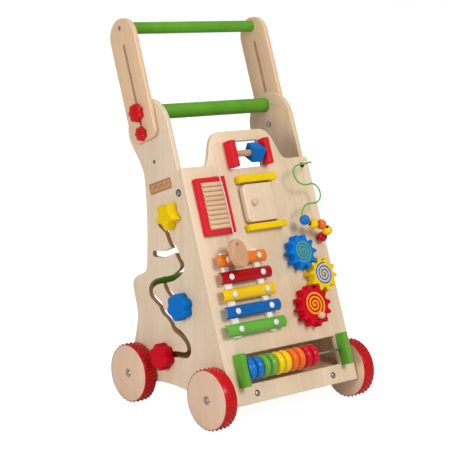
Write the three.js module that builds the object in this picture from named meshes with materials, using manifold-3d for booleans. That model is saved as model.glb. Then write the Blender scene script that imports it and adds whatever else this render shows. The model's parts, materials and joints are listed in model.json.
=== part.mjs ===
// A wooden push-along activity walker: a slanted play panel and two side panels on four wheels,
// with a handle whose arms slide up and down. Millimetres, +Z up. The front faces -Y and +X is to
// the right of somebody looking at the front. The origin is on the floor, under the middle.
import * as THREE from "three";
import { mergeVertices } from "three/addons/utils/BufferGeometryUtils.js";
import Module from "manifold-3d";

const wasm = await Module();
wasm.setup();

// ---------------------------------------------------------------- driving dimensions
const PLY = 8; // thickness of the side panels, the play panel, the floor board and the arms
const GLUE = 0.3; // gap left between pieces that touch
const SLIP = 0.4; // gap left between pieces that move past each other
const HALF_WIDTH = 131.25; // half the width over the side panels
const INNER_HALF = HALF_WIDTH - PLY;
const TILT = THREE.MathUtils.degToRad(20.34); // the play panel and the arms lean back this much
const AXLE_TO_CENTRE = 107.6; // from the front axle back to the middle of the footprint
const WHEELBASE = 194.5;

const WHEEL = { radius: 47.2, inner: 133.65, outer: 156.65, disc: 45, bore: 3.4, hubSink: 5 };
const AXLE_RADIUS = 3;

const PANEL_FOOT = { y: -33.7, z: 38.3 }; // bottom edge of the play panel's front face
const PANEL = { shoulder: 368.5, top: 420, humpHalf: 40 };

const FIXED_BAR = { y: 189.2, z: 460.4, radius: 11.7 };
const LOWER_BAR = { y: 197, z: 185, radius: 11.5 };
const HANDLE_RADIUS = 9.3;
const HANDLE_REACH = 137; // from the fixed bar to the handle bar, along the arm
const LOWER_CLAMP = -33.3; // from the fixed bar to the lower clamp, along the arm
const ARM = { half: 31.5, foot: -45, dome: 120, slotLow: -37, slotHigh: 108, slot: 3, corner: 14 };
const TRAY = { floor: 61, rear: 195, top: 116 }; // the box formed behind the play panel
const BOLT_RADIUS = 2.6;
const HEAD = { z: 432, radius: 51 }; // the round head of a side panel

// ---------------------------------------------------------------- materials
const paint = (color, roughness = 0.35) => new THREE.MeshStandardMaterial({ color, roughness });
const birch = paint(0xe7cba9, 0.6);
const birchDark = paint(0xb98f66, 0.6);
const beech = paint(0xdcb48c, 0.55);
const green = paint(0x6a9c3c);
const red = paint(0xc8142a);
const yellow = paint(0xe8c31c);
const blue = paint(0x0a6cb8);
const orange = paint(0xe8792b);
const white = paint(0xf0eee8);
const rubber = paint(0xa80f18, 0.7);
const string = paint(0xf0ece0, 0.9);
const steel = new THREE.MeshStandardMaterial({ color: 0xb8b8bc, roughness: 0.3, metalness: 1 });

// ---------------------------------------------------------------- solids: join and cut
function solidOf(geometry) {
  const bare = new THREE.BufferGeometry();
  bare.setAttribute("position", geometry.getAttribute("position"));
  bare.setIndex(geometry.index);
  const merged = mergeVertices(bare, 1e-4);
  const solid = new wasm.Manifold(
    new wasm.Mesh({
      numProp: 3,
      vertProperties: new Float32Array(merged.attributes.position.array),
      triVerts: new Uint32Array(merged.index.array),
    }),
  );
  return solid;
}

function geometryOf(solid) {
  const mesh = solid.getMesh();
  const geometry = new THREE.BufferGeometry();
  geometry.setAttribute("position", new THREE.BufferAttribute(mesh.vertProperties, 3));
  geometry.setIndex(new THREE.BufferAttribute(mesh.triVerts, 1));
  geometry.computeVertexNormals();
  return geometry;
}

const cut = (body, ...tools) =>
  geometryOf(tools.reduce((rest, tool) => rest.subtract(solidOf(tool)), solidOf(body)));
const join = (...bodies) =>
  geometryOf(bodies.map(solidOf).reduce((whole, body) => whole.add(body)));
const overlap = (a, b) => geometryOf(solidOf(a).intersect(solidOf(b)));

// ---------------------------------------------------------------- basic shapes
// (a, b, c) in a drawing becomes (c, a, b): a profile drawn in YZ is pushed out along X.
const PROFILE_TO_X = new THREE.Matrix4().set(0, 0, 1, 0, 1, 0, 0, 0, 0, 1, 0, 0, 0, 0, 0, 1);

function block(x0, x1, y0, y1, z0, z1) {
  const box = new THREE.BoxGeometry(x1 - x0, y1 - y0, z1 - z0);
  return box.translate((x0 + x1) / 2, (y0 + y1) / 2, (z0 + z1) / 2);
}

// A round rod along local Z, from z0 to z1, on the axis through (x, y).
function rodZ(radius, x, y, z0, z1, sides = 16) {
  const rod = new THREE.CylinderGeometry(radius, radius, z1 - z0, sides);
  return rod.rotateX(Math.PI / 2).translate(x, y, (z0 + z1) / 2);
}

// The same along local X, through (y, z).
function rodX(radius, y, z, x0, x1, sides = 16) {
  const rod = new THREE.CylinderGeometry(radius, radius, x1 - x0, sides);
  return rod.rotateZ(-Math.PI / 2).translate((x0 + x1) / 2, y, z);
}

// The same along local Y, through (x, z).
function rodY(radius, x, z, y0, y1, sides = 14) {
  const rod = new THREE.CylinderGeometry(radius, radius, y1 - y0, sides);
  return rod.translate(x, (y0 + y1) / 2, z);
}

function plate(shape, z0, z1, curveSegments = 8) {
  const options = { depth: z1 - z0, bevelEnabled: false, curveSegments };
  return new THREE.ExtrudeGeometry(shape, options).translate(0, 0, z0);
}

// A shape drawn in (x, z), pushed out along Y from y0 to y1.
function plateY(shape, y0, y1, curveSegments = 8) {
  return plate(shape, -y1, -y0, curveSegments).rotateX(Math.PI / 2);
}

function ovalPoints(x, y, halfWide, halfHigh, sides) {
  const points = [];
  for (let i = 0; i < sides; i++) {
    const angle = (i / sides) * Math.PI * 2;
    points.push(new THREE.Vector2(x + halfWide * Math.cos(angle), y + halfHigh * Math.sin(angle)));
  }
  return points;
}

const circleHole = (x, y, radius) => new THREE.Path(ovalPoints(x, y, radius, radius, 14));

function roundedRectangle(path, x0, x1, y0, y1, r) {
  path.moveTo(x0 + r, y0);
  path.lineTo(x1 - r, y0);
  path.absarc(x1 - r, y0 + r, r, -Math.PI / 2, 0, false);
  path.lineTo(x1, y1 - r);
  path.absarc(x1 - r, y1 - r, r, 0, Math.PI / 2, false);
  path.lineTo(x0 + r, y1);
  path.absarc(x0 + r, y1 - r, r, Math.PI / 2, Math.PI, false);
  path.lineTo(x0, y0 + r);
  path.absarc(x0 + r, y0 + r, r, Math.PI, Math.PI * 1.5, false);
  return path;
}

// A solid turned about local Y from a profile of [radius, y] pairs that closes on itself.
function turned(profile, sides = 24) {
  const points = profile.map(([radius, y]) => new THREE.Vector2(radius, y));
  return new THREE.LatheGeometry(points, sides);
}

// A star-like outline: the radius swings between two values a given number of times.
function lobedShape(lobes, inner, outer, turn = 0, roundness = 1) {
  const shape = new THREE.Shape();
  const steps = lobes * 6;
  for (let i = 0; i < steps; i++) {
    const angle = (i / steps) * Math.PI * 2;
    const swing = (1 + Math.cos(lobes * angle)) / 2;
    const radius = inner + (outer - inner) * swing ** roundness;
    const point = [radius * Math.cos(angle + turn), radius * Math.sin(angle + turn)];
    if (i === 0) shape.moveTo(...point);
    else shape.lineTo(...point);
  }
  shape.closePath();
  return shape;
}

// ---------------------------------------------------------------- the scene's frames
const walker = new THREE.Group();
walker.position.y = -AXLE_TO_CENTRE; // inside this group Y is measured from the front axle

// On the play panel: x across, y up the slope from its bottom edge, z out of its face.
const playFace = new THREE.Group();
playFace.position.set(0, PANEL_FOOT.y, PANEL_FOOT.z);
playFace.rotation.x = Math.PI / 2 - TILT;
walker.add(playFace);

// On a side panel: drawing x is Y, drawing y is Z, drawing z is X.
const sideFrame = new THREE.Group();
sideFrame.applyMatrix4(PROFILE_TO_X);
walker.add(sideFrame);

// On an arm: y runs up the arm from the fixed bar, x to the rear, z is X.
const armFrame = new THREE.Group();
armFrame.position.set(FIXED_BAR.y, FIXED_BAR.z, 0);
armFrame.rotation.z = -TILT;
sideFrame.add(armFrame);

function part(frame, name, geometry, material, place = [0, 0, 0]) {
  const mesh = new THREE.Mesh(geometry, material);
  mesh.name = name;
  mesh.position.set(...place);
  frame.add(mesh);
  return mesh;
}

const SIDES = [
  { name: "left", sign: -1 },
  { name: "right", sign: 1 },
];

// The stretch between two distances from the middle, on the left or the right side.
const span = (sign, near, far) => (sign < 0 ? [-far, -near] : [near, far]);

// ---------------------------------------------------------------- side panels
const sideFrontEdge = (z) =>
  PANEL_FOOT.y + (PLY + GLUE) / Math.cos(TILT) + (z - PANEL_FOOT.z) * Math.tan(TILT);
const headCentreY = sideFrontEdge(HEAD.z) + HEAD.radius / Math.cos(TILT);

function sideOutline() {
  const shape = new THREE.Shape();
  shape.moveTo(sideFrontEdge(42), 42);
  // the straight front edge runs into the round head
  shape.absarc(headCentreY, HEAD.z, HEAD.radius, Math.PI - TILT, -0.21, true);
  shape.bezierCurveTo(222.5, 408, 196, 388, 186.5, 366);
  shape.bezierCurveTo(182, 350, 177.5, 310, 177.3, 262);
  shape.lineTo(178, 228);
  // the ear that holds the lower bar
  shape.bezierCurveTo(178, 212, 182, 210, 192, 206);
  shape.bezierCurveTo(206, 200.5, 216, 194, 214, 183);
  shape.bezierCurveTo(212, 170, 201.5, 150, 202, 134);
  shape.bezierCurveTo(202.3, 118, 214, 92, 215.7, 56.1);
  // round the rear axle, under the arch and round the front axle
  shape.absarc(WHEELBASE, WHEEL.radius, 23, 0.4, -1.9, true);
  shape.bezierCurveTo(172, 31, 160, 38, 140, 40.5);
  shape.bezierCurveTo(110, 43.5, 80, 42.5, 60, 37.5);
  shape.bezierCurveTo(50, 35, 38, 34, 24, 34);
  shape.lineTo(-16, 34);
  shape.quadraticCurveTo(-26, 34, sideFrontEdge(42), 42);
  const along = (distance) => [
    FIXED_BAR.y + distance * Math.sin(TILT),
    FIXED_BAR.z + distance * Math.cos(TILT),
  ];
  shape.holes.push(
    circleHole(FIXED_BAR.y, FIXED_BAR.z, BOLT_RADIUS + SLIP),
    circleHole(...along(LOWER_CLAMP), BOLT_RADIUS + SLIP),
    circleHole(0, WHEEL.radius, AXLE_RADIUS + GLUE),
    circleHole(WHEELBASE, WHEEL.radius, AXLE_RADIUS + GLUE),
  );
  return shape;
}

// The winding track that the three shapes travel in, and its two side branches.
const TRACK_WIDTH = 9.5;
const TRACK_MAIN = [
  [113.7, 309], [125.5, 305.9], [136, 302.8], [144.5, 298], [145, 291.5], [137.5, 287.5],
  [128, 282.4], [121.4, 271.5], [114.3, 263.1], [107.3, 258], [98.5, 247.7], [89.5, 236.5],
  [93.1, 225.2], [112.3, 212], [134, 205.2], [155.3, 198.1], [166.6, 187.6], [165.6, 176.6],
  [153.4, 169.6], [142.5, 163.9], [137.5, 155.8], [124.8, 149.9], [114, 141.9], [107.3, 132.6],
  [91, 126.8], [77.2, 117.8], [71.5, 107.2], [75.2, 98.2], [86, 94.8], [97.5, 93.8],
  [108.1, 91.8], [117.5, 88.7], [127.3, 85.6],
];
const TRACK_SPUR = [[106, 257], [122.4, 250.6], [137.3, 245], [149.9, 243.5], [158.2, 243]];
const TRACK_BRANCH = [[131, 207], [131, 199.8], [125.6, 191.4], [113.5, 183.8], [98.7, 178.1], [84, 172.3]];

function trackShape(route) {
  const half = TRACK_WIDTH / 2;
  const curve = new THREE.SplineCurve(route.map(([y, z]) => new THREE.Vector2(y, z)));
  const steps = route.length * 2;
  const ahead = [];
  const back = [];
  for (let i = 0; i <= steps; i++) {
    const centre = curve.getPoint(i / steps);
    const tangent = curve.getTangent(i / steps);
    const offset = new THREE.Vector2(-tangent.y, tangent.x).multiplyScalar(half);
    ahead.push(centre.clone().add(offset));
    back.unshift(centre.clone().sub(offset));
  }
  const cap = (centre, from) => {
    const points = [];
    for (let k = 1; k < 4; k++) {
      const angle = from - (k * Math.PI) / 4;
      const spoke = new THREE.Vector2(Math.cos(angle), Math.sin(angle));
      points.push(centre.clone().add(spoke.multiplyScalar(half)));
    }
    return points;
  };
  const endTurn = curve.getTangent(1).angle() + Math.PI / 2;
  const startTurn = curve.getTangent(0).angle() - Math.PI / 2;
  return new THREE.Shape([
    ...ahead,
    ...cap(curve.getPoint(1), endTurn),
    ...back,
    ...cap(curve.getPoint(0), startTurn),
  ]);
}

function sidePanels() {
  for (const { name, sign } of SIDES) {
    const [x0, x1] = span(sign, INNER_HALF, HALF_WIDTH);
    const board = plate(sideOutline(), x0, x1, 7);
    const tracks = [TRACK_MAIN, TRACK_SPUR, TRACK_BRANCH].map((route) =>
      plate(trackShape(route), x0 - 1, x1 + 1),
    );
    part(sideFrame, `${name}_side_panel`, sign < 0 ? cut(board, ...tracks) : board, birch);
  }
}

// ---------------------------------------------------------------- the shapes in the track
const SHAPE_BACK = HALF_WIDTH + SLIP;
const SHAPE_THICK = 17.5;

function starShape(radius, waist, turn) {
  const shape = new THREE.Shape();
  const tips = 5;
  for (let i = 0; i < tips; i++) {
    const angle = turn + (i * Math.PI * 2) / tips;
    const at = (r, a) => [r * Math.cos(a), r * Math.sin(a)];
    const half = Math.PI / tips;
    if (i === 0) shape.moveTo(...at(waist, angle - half));
    shape.lineTo(...at(radius * 0.93, angle - 0.075));
    shape.quadraticCurveTo(...at(radius * 1.03, angle), ...at(radius * 0.93, angle + 0.075));
    shape.lineTo(...at(waist, angle + half));
  }
  return shape;
}

function slider(name, outline, [y, z], material) {
  const front = plate(outline, -SHAPE_BACK - SHAPE_THICK, -SHAPE_BACK, 4);
  const shaft = rodZ(3, 0, 0, -SHAPE_BACK - 4, -INNER_HALF + 4, 16);
  const stop = rodZ(9, 0, 0, -INNER_HALF + SLIP, -INNER_HALF + SLIP + 5, 24);
  part(sideFrame, name, join(front, shaft, stop), material, [y, z, 0]);
}

function trackShapes() {
  slider("star", starShape(22.8, 13.9, THREE.MathUtils.degToRad(-175.4)), TRACK_MAIN[0], yellow);
  slider("blue_flower", lobedShape(6, 17.8, 21.3, 0.55, 0.6), TRACK_BRANCH.at(-1), blue);
  slider("red_flower", lobedShape(6, 17.6, 21.2, 0.25, 0.6), TRACK_MAIN.at(-1), red);
}

// ---------------------------------------------------------------- play panel and frame
const HUMP_WINDOW = { x: 34, y0: 359.5, y1: 402.8 };
const BEAD_WINDOW = { x: 101.8, y0: 29.2, y1: 74.5 };
const GEAR_PITCH = 25.8; // pitch radius of the ten-tooth gears
const GEARS = gearTrain();
const WIRE_ENDS = [
  [116.2, 354.4],
  [115.8, 233],
];

function gearTrain() {
  const ratio = 12 / 10;
  const middle = { name: "gear_yellow", x: 93.4, y: 173.2, teeth: 10, radius: GEAR_PITCH };
  middle.phase = THREE.MathUtils.degToRad(26);
  const meshing = (name, teeth, radius, towards) => {
    const reach = middle.radius + radius;
    const line = THREE.MathUtils.degToRad(towards);
    // the tooth nearest the line of centres is half a pitch away from the middle gear's
    const step = (Math.PI * 2) / middle.teeth;
    const lead = middle.phase - line;
    const near = lead - Math.round(lead / step) * step;
    const own = ((step / 2 - near) * middle.radius) / radius;
    return {
      name,
      teeth,
      radius,
      x: middle.x + reach * Math.cos(line),
      y: middle.y + reach * Math.sin(line),
      phase: line + Math.PI + own,
    };
  };
  return [
    meshing("gear_blue", 10, GEAR_PITCH, 128.5),
    middle,
    meshing("gear_red", 12, GEAR_PITCH * ratio, 234.8),
  ];
}

function panelOutline() {
  const { shoulder, top, humpHalf } = PANEL;
  const corner = 6;
  const shape = new THREE.Shape();
  shape.moveTo(-HALF_WIDTH + 4, 0);
  shape.lineTo(HALF_WIDTH - 4, 0);
  shape.quadraticCurveTo(HALF_WIDTH, 0, HALF_WIDTH, 4);
  shape.lineTo(HALF_WIDTH, shoulder - corner);
  shape.quadraticCurveTo(HALF_WIDTH, shoulder, HALF_WIDTH - corner, shoulder);
  shape.lineTo(91, shoulder);
  shape.bezierCurveTo(81, shoulder, 77, 372, 74, 380);
  shape.lineTo(68.5, 394.5);
  shape.bezierCurveTo(63, 409, 57, top, humpHalf, top);
  shape.lineTo(-humpHalf, top);
  shape.bezierCurveTo(-57, top, -63, 409, -68.5, 394.5);
  shape.lineTo(-74, 380);
  shape.bezierCurveTo(-77, 372, -81, shoulder, -91, shoulder);
  shape.lineTo(-HALF_WIDTH + corner, shoulder);
  shape.quadraticCurveTo(-HALF_WIDTH, shoulder, -HALF_WIDTH, shoulder - corner);
  shape.lineTo(-HALF_WIDTH, 4);
  shape.quadraticCurveTo(-HALF_WIDTH, 0, -HALF_WIDTH + 4, 0);
  for (const { x, y0, y1 } of [HUMP_WINDOW, BEAD_WINDOW])
    shape.holes.push(roundedRectangle(new THREE.Path(), -x, x, y0, y1, 2));
  for (const { x, y } of GEARS) shape.holes.push(circleHole(x, y, AXLE_RADIUS + GLUE));
  for (const [x, y] of WIRE_ENDS) shape.holes.push(circleHole(x, y, 2));
  return shape;
}

function frame() {
  part(playFace, "play_panel", plate(panelOutline(), -PLY, 0, 5), birch);

  // the floor board, with its front rail glued under the play panel's bottom edge and the low
  // board that closes the tray at the back
  const half = INNER_HALF - GLUE;
  const board = block(-half, half, -15, TRAY.rear, TRAY.floor - PLY, TRAY.floor);
  const back = block(-half, half, TRAY.rear - PLY, TRAY.rear, TRAY.floor - PLY, TRAY.top);
  const rail = block(-half, half, 5, 27, -PLY - GLUE - 12, -PLY - GLUE);
  rail.applyMatrix4(playFace.matrix.compose(playFace.position, playFace.quaternion, playFace.scale));
  part(walker, "floor_board", join(board, back, rail), birchDark);

  const bolts = [-1, 1].map((sign) =>
    rodX(3.1, FIXED_BAR.y, FIXED_BAR.z, ...span(sign, INNER_HALF - 24, HALF_WIDTH)),
  );
  const bar = rodX(FIXED_BAR.radius, FIXED_BAR.y, FIXED_BAR.z, -half, half, 32);
  part(walker, "fixed_bar", cut(bar, ...bolts), green);
  const { y, z, radius } = LOWER_BAR;
  part(walker, "lower_bar", rodX(radius, y, z, -half, half, 32), green);
}

// ---------------------------------------------------------------- handle
function handle() {
  const shape = new THREE.Shape();
  const { half, foot, corner, dome, slot, slotLow, slotHigh } = ARM;
  shape.moveTo(-half + corner, foot);
  shape.lineTo(half - corner, foot);
  shape.absarc(half - corner, foot + corner, corner, -Math.PI / 2, 0, false);
  shape.absarc(0, dome, half, 0, Math.PI, false);
  shape.absarc(-half + corner, foot + corner, corner, Math.PI, Math.PI * 1.5, false);
  const hole = new THREE.Path();
  hole.absarc(0, slotHigh, slot, 0, Math.PI, false);
  hole.absarc(0, slotLow, slot, Math.PI, Math.PI * 2, false);
  hole.closePath();
  shape.holes.push(hole);
  const inner = HALF_WIDTH + SLIP;
  for (const { name, sign } of SIDES)
    part(armFrame, `${name}_arm`, plate(shape, ...span(sign, inner, inner + PLY), 8), birch);
  const reach = inner - GLUE;
  part(armFrame, "handle_bar", rodZ(HANDLE_RADIUS, 0, HANDLE_REACH, -reach, reach, 32), green);
}

// Lobed knobs on bolts that pass through the arm's slot. The upper pair screws into the ends of
// the fixed bar, the lower pair is held by a nut inside the side panel.
function clamps() {
  const armFace = HALF_WIDTH + PLY + 2 * SLIP;
  const kinds = [
    { name: "upper", along: 0, radius: 15, thick: 10, boltEnd: INNER_HALF - 20 },
    { name: "lower", along: LOWER_CLAMP, radius: 11.6, thick: 8, boltEnd: INNER_HALF - 4 },
  ];
  for (const { name: side, sign } of SIDES)
    for (const { name, along, radius, thick, boltEnd } of kinds) {
      const pieces = [
        plate(lobedShape(7, radius * 0.86, radius, 0.3), ...span(sign, armFace, armFace + thick), 4),
        rodZ(BOLT_RADIUS, 0, 0, ...span(sign, boltEnd, armFace + 2), 16),
      ];
      if (name === "lower") pieces.push(rodZ(5, 0, 0, ...span(sign, boltEnd, INNER_HALF - SLIP), 20));
      part(armFrame, `${side}_${name}_clamp`, join(...pieces), red, [0, along, 0]);
    }
}

// ---------------------------------------------------------------- wheels
const AXLES = [
  { name: "front", y: 0 },
  { name: "rear", y: WHEELBASE },
];

function wheels() {
  const { radius, inner, outer, disc, bore, hubSink } = WHEEL;
  const wide = outer - inner;
  const discProfile = [
    [bore, 0], [disc - 1.5, 0], [disc, 1.5], [disc, wide - 1.5], [disc - 1.5, wide],
    [7, wide], [7, wide - hubSink], [bore, wide - hubSink], [bore, 0],
  ];
  const seat = disc + GLUE;
  const tyreProfile = [
    [seat, 0.8], [radius - 0.8, 0.8], [radius, 1.8], [radius, wide - 1.8],
    [radius - 0.8, wide - 0.8], [seat, wide - 0.8], [seat, 0.8],
  ];
  for (const { name, y } of AXLES) {
    const capFrom = outer - hubSink + SLIP;
    const pieces = [rodX(AXLE_RADIUS, y, radius, -capFrom - 1, capFrom + 1, 16)];
    for (const { name: side, sign } of SIDES) {
      pieces.push(rodX(5.5, y, radius, ...span(sign, capFrom, capFrom + 3.2)));
      pieces.push(rodX(6, y, radius, ...span(sign, HALF_WIDTH + GLUE, inner - SLIP)));
      const turnOut = (geometry) => geometry.rotateZ((-sign * Math.PI) / 2);
      const place = [sign * inner, y, radius];
      part(walker, `${name}_${side}_wheel`, turnOut(turned(discProfile, 30)), birch, place);
      part(walker, `${name}_${side}_tyre`, turnOut(turned(tyreProfile, 30)), rubber, place);
    }
    part(walker, `${name}_axle`, join(...pieces), steel);
  }
}

// ---------------------------------------------------------------- toys on the play panel
function washboard() {
  const outer = roundedRectangle(new THREE.Shape(), -116, -57.5, 259.7, 348.7, 2);
  outer.holes.push(roundedRectangle(new THREE.Path(), -107, -65, 267, 341.3, 1));
  part(playFace, "washboard_frame", plate(outer, GLUE, 9.3, 3), red);

  // ten half-round ridges standing a little proud of the frame
  const ridges = 10;
  const bed = 8.9;
  const from = 267.4;
  const pitch = (340.9 - from) / ridges;
  const profile = new THREE.Shape();
  profile.moveTo(from, GLUE);
  profile.lineTo(from + ridges * pitch, GLUE);
  profile.lineTo(from + ridges * pitch, bed);
  for (let i = ridges - 1; i >= 0; i--)
    profile.absarc(from + (i + 0.5) * pitch, bed, 3.4, 0, Math.PI, false);
  profile.lineTo(from, bed);
  const board = plate(profile, -106.6, -65.4, 5).applyMatrix4(PROFILE_TO_X);
  part(playFace, "washboard", board, beech);
}

const BEATER = { x: -81, y: 224.2, z: 28.6, halfWide: 18.3, halfHigh: 22.3, thick: 10.5 };
const BEATER_YAW = THREE.MathUtils.degToRad(15.5); // it hangs turned a little to the right
const BEATER_ROLL = THREE.MathUtils.degToRad(13.4);
const BEATER_HOLE = { up: 14.2, radius: 1.9 };

function beater() {
  const { x, y, z, halfWide, halfHigh, thick } = BEATER;
  const hanging = new THREE.Group();
  hanging.position.set(x, y, z);
  hanging.rotation.set(0, BEATER_YAW, BEATER_ROLL);
  playFace.add(hanging);
  const shape = new THREE.Shape(ovalPoints(0, 0, halfWide, halfHigh, 40));
  shape.holes.push(circleHole(0, BEATER_HOLE.up, BEATER_HOLE.radius));
  part(hanging, "beater", plate(shape, -thick / 2, thick / 2), beech);

  // the string leaves the panel above the washboard, runs down over the ends of its ridges and
  // goes into the beater's hole from behind
  const route = [
    [-69.2, 350.6, 1.1], [-69.4, 350.6, 5.2], [-69.8, 350.4, 9.6], [-70, 349.2, 11], [-70.2, 346.4, 11.7],
    [-70.3, 341, 12.8], [-70.1, 336, 13.5], [-69, 321.4, 13.5], [-68.4, 302.7, 13.5],
    [-68.5, 284, 13.5], [-68.7, 270, 13.4], [-68.4, 260, 13.1], [-68.8, 254, 13.6],
    [-71, 247.8, 15.6], [-76, 243.2, 18.2], [-82.5, 240.6, 20.4], [-85.6, 238.6, 22.8], [-85.6, 238, 25], [-84.7, 238, 28.2],
  ];
  part(playFace, "beater_string", tube(route, 0.7, 8, 40), string);
}

// A round tube through a list of points.
function tube(route, radius, sides, steps) {
  const curve = new THREE.CatmullRomCurve3(route.map((point) => new THREE.Vector3(...point)));
  const section = new THREE.Shape();
  for (let i = 0; i < sides; i++) {
    const angle = (i / sides) * Math.PI * 2;
    const point = [radius * Math.cos(angle), radius * Math.sin(angle)];
    if (i === 0) section.moveTo(...point);
    else section.lineTo(...point);
  }
  section.closePath();
  return new THREE.ExtrudeGeometry(section, { steps, extrudePath: curve, bevelEnabled: false });
}

const DOOR = { x0: -29, y0: 271.5, y1: 331.2, pivotX: 28, pivotZ: 6.3, half: 5 };

function door() {
  const { x0, y0, y1, pivotX, pivotZ, half } = DOOR;
  const railShape = new THREE.Shape();
  railShape.moveTo(-32.5, GLUE);
  railShape.lineTo(44.5, GLUE);
  railShape.lineTo(44.5, 13);
  railShape.lineTo(-25, 13);
  railShape.quadraticCurveTo(-31, 11, -32.5, GLUE);
  const rails = [
    ["door_upper_rail", 334.3, 346],
    ["door_lower_rail", 258.6, 268.4],
  ];
  for (const [name, low, high] of rails) {
    const bore = rodY(2 + SLIP, pivotX, pivotZ, low - 1, high + 1);
    part(playFace, name, cut(plateY(railShape, low, high, 5), bore), yellow);
  }

  const section = new THREE.Shape();
  section.moveTo(x0, pivotZ - half);
  section.lineTo(pivotX, pivotZ - half);
  section.absarc(pivotX, pivotZ, half, -Math.PI / 2, Math.PI / 2, false);
  section.lineTo(x0, pivotZ + half);
  section.closePath();
  const front = new THREE.Shape();
  front.moveTo(x0 + 8, y0);
  front.lineTo(40, y0);
  front.lineTo(40, y1);
  front.lineTo(x0 + 8, y1);
  front.absarc(x0 + 8, y1 - 8, 8, Math.PI / 2, Math.PI, false);
  front.absarc(x0 + 8, y0 + 8, 8, Math.PI, Math.PI * 1.5, false);
  const leaf = overlap(plateY(section, y0, y1, 12), plate(front, -1, 20, 6));
  const pin = rodY(2, pivotX, pivotZ, y0 - 8, y1 + 10, 16);
  const knob = turned([[0, -2], [4, -2], [4, 3.4], [2.8, 5.2], [0, 6]], 20);
  knob.rotateX(Math.PI / 2).translate(-12.5, 301.4, pivotZ + half);
  part(playFace, "door", join(leaf, pin, knob), beech);
}

const SCREW = { y: 381, z: 8.1, radius: 5 };
// a square nut, standing on one of its edges
const NUT = { x0: 4.5, x1: 26.2, side: 23.3, turn: THREE.MathUtils.degToRad(42) };

function boltToy() {
  const blocks = [
    ["bolt_left_block", -38.6, -26.8],
    ["bolt_right_block", 32.5, 43.6],
  ];
  for (const [name, x0, x1] of blocks)
    part(playFace, name, block(x0, x1, 360, 402, GLUE, 16.6), red);
  const { y, z, radius } = SCREW;
  part(playFace, "bolt_screw", rodX(radius, y, z, -26.5, 32.2, 24), beech);
  const half = NUT.side / 2;
  const nut = block(NUT.x0, NUT.x1, -half, half, -half, half).rotateX(NUT.turn).translate(0, y, z);
  part(playFace, "bolt_nut", cut(nut, rodX(radius + SLIP, y, z, 0, 30, 24)), blue);
}

const BARS = [
  { name: "orange", material: orange, y: 218.8, x0: -109.5, x1: -13.7 },
  { name: "red", material: red, y: 192.4, x0: -110.6, x1: -10.2 },
  { name: "yellow", material: yellow, y: 165.9, x0: -114.3, x1: -9.5 },
  { name: "blue", material: blue, y: 139.8, x0: -114.8, x1: -6.9 },
  { name: "green", material: green, y: 112.7, x0: -120.6, x1: -3.2 },
];
const NOTE_RAILS = [
  { name: "xylophone_left_rail", topX: -91, footX: -96.4 },
  { name: "xylophone_right_rail", topX: -30.7, footX: -25.4 },
];
const RAIL_TOP = 231;
const RAIL_FOOT = 101;

const railX = ({ topX, footX }, y) =>
  topX + ((footX - topX) * (RAIL_TOP - y)) / (RAIL_TOP - RAIL_FOOT);

function xylophone() {
  const half = 5.2;
  for (const rail of NOTE_RAILS) {
    const shape = new THREE.Shape();
    shape.moveTo(rail.footX - half, RAIL_FOOT);
    shape.lineTo(rail.footX + half, RAIL_FOOT);
    shape.lineTo(rail.topX + half, RAIL_TOP);
    shape.lineTo(rail.topX - half, RAIL_TOP);
    const pins = BARS.flatMap(({ y }) => [
      rodZ(1.6, railX(rail, y), y, 5, 17.6, 8),
      rodZ(4.7, railX(rail, y), y, 15.9, 18, 12),
    ]);
    part(playFace, rail.name, join(plate(shape, GLUE, 7), ...pins), white);
  }
  for (const { name, material, y, x0, x1 } of BARS) {
    // a half tube, open underneath, lying on the rails
    const section = new THREE.Shape();
    const foot = 7.3;
    section.absellipse(y, foot, 9.5, 8.1, 0, Math.PI, false);
    section.absellipse(y, foot, 7.9, 6.5, Math.PI, 0, true);
    section.closePath();
    const shell = plate(section, x0, x1, 7).applyMatrix4(PROFILE_TO_X);
    const holes = NOTE_RAILS.map((rail) => rodZ(2.2, railX(rail, y), y, 8, 18, 12));
    part(playFace, `xylophone_bar_${name}`, cut(shell, ...holes), material);
  }
}

function toothedShape({ x, y, teeth, radius, phase }) {
  const shape = new THREE.Shape();
  const step = (Math.PI * 2) / teeth;
  const root = radius - 4.2;
  const tip = radius + 2.4;
  const at = (r, a) => [x + r * Math.cos(a), y + r * Math.sin(a)];
  for (let i = 0; i < teeth; i++) {
    const middle = phase + i * step;
    const flank = (r, share) => at(r, middle + share * step);
    if (i === 0) shape.moveTo(...flank(root, -0.33));
    shape.lineTo(...flank(radius, -0.19));
    shape.lineTo(...flank(tip - 0.9, -0.09));
    shape.quadraticCurveTo(...flank(tip + 0.4, 0), ...flank(tip - 0.9, 0.09));
    shape.lineTo(...flank(radius, 0.19));
    shape.lineTo(...flank(root, 0.33));
    shape.quadraticCurveTo(...flank(root - 1, 0.5), ...flank(root, 0.67));
  }
  return shape;
}

function gears() {
  const colours = { gear_blue: blue, gear_yellow: yellow, gear_red: red };
  for (const gear of GEARS) {
    const body = plate(toothedShape(gear), 1.5, 18, 2);
    const pin = rodZ(AXLE_RADIUS, gear.x, gear.y, -PLY - 2, 4, 16);
    const stop = rodZ(7, gear.x, gear.y, -PLY - 3, -PLY - SLIP, 20);
    part(playFace, gear.name, join(body, pin, stop), colours[gear.name]);
  }
  const pegProfile = [[0, 0], [4.4, 0], [4.8, 1.4], [5.8, 4.2], [5.7, 6.4], [4.4, 9], [2.2, 10.6], [0, 10.9]];
  const peg = turned(pegProfile, 16);
  peg.rotateX(Math.PI / 2);
  part(playFace, "crank_peg", peg, beech, [63.4, 109.4, 18 + GLUE]);
}

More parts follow.
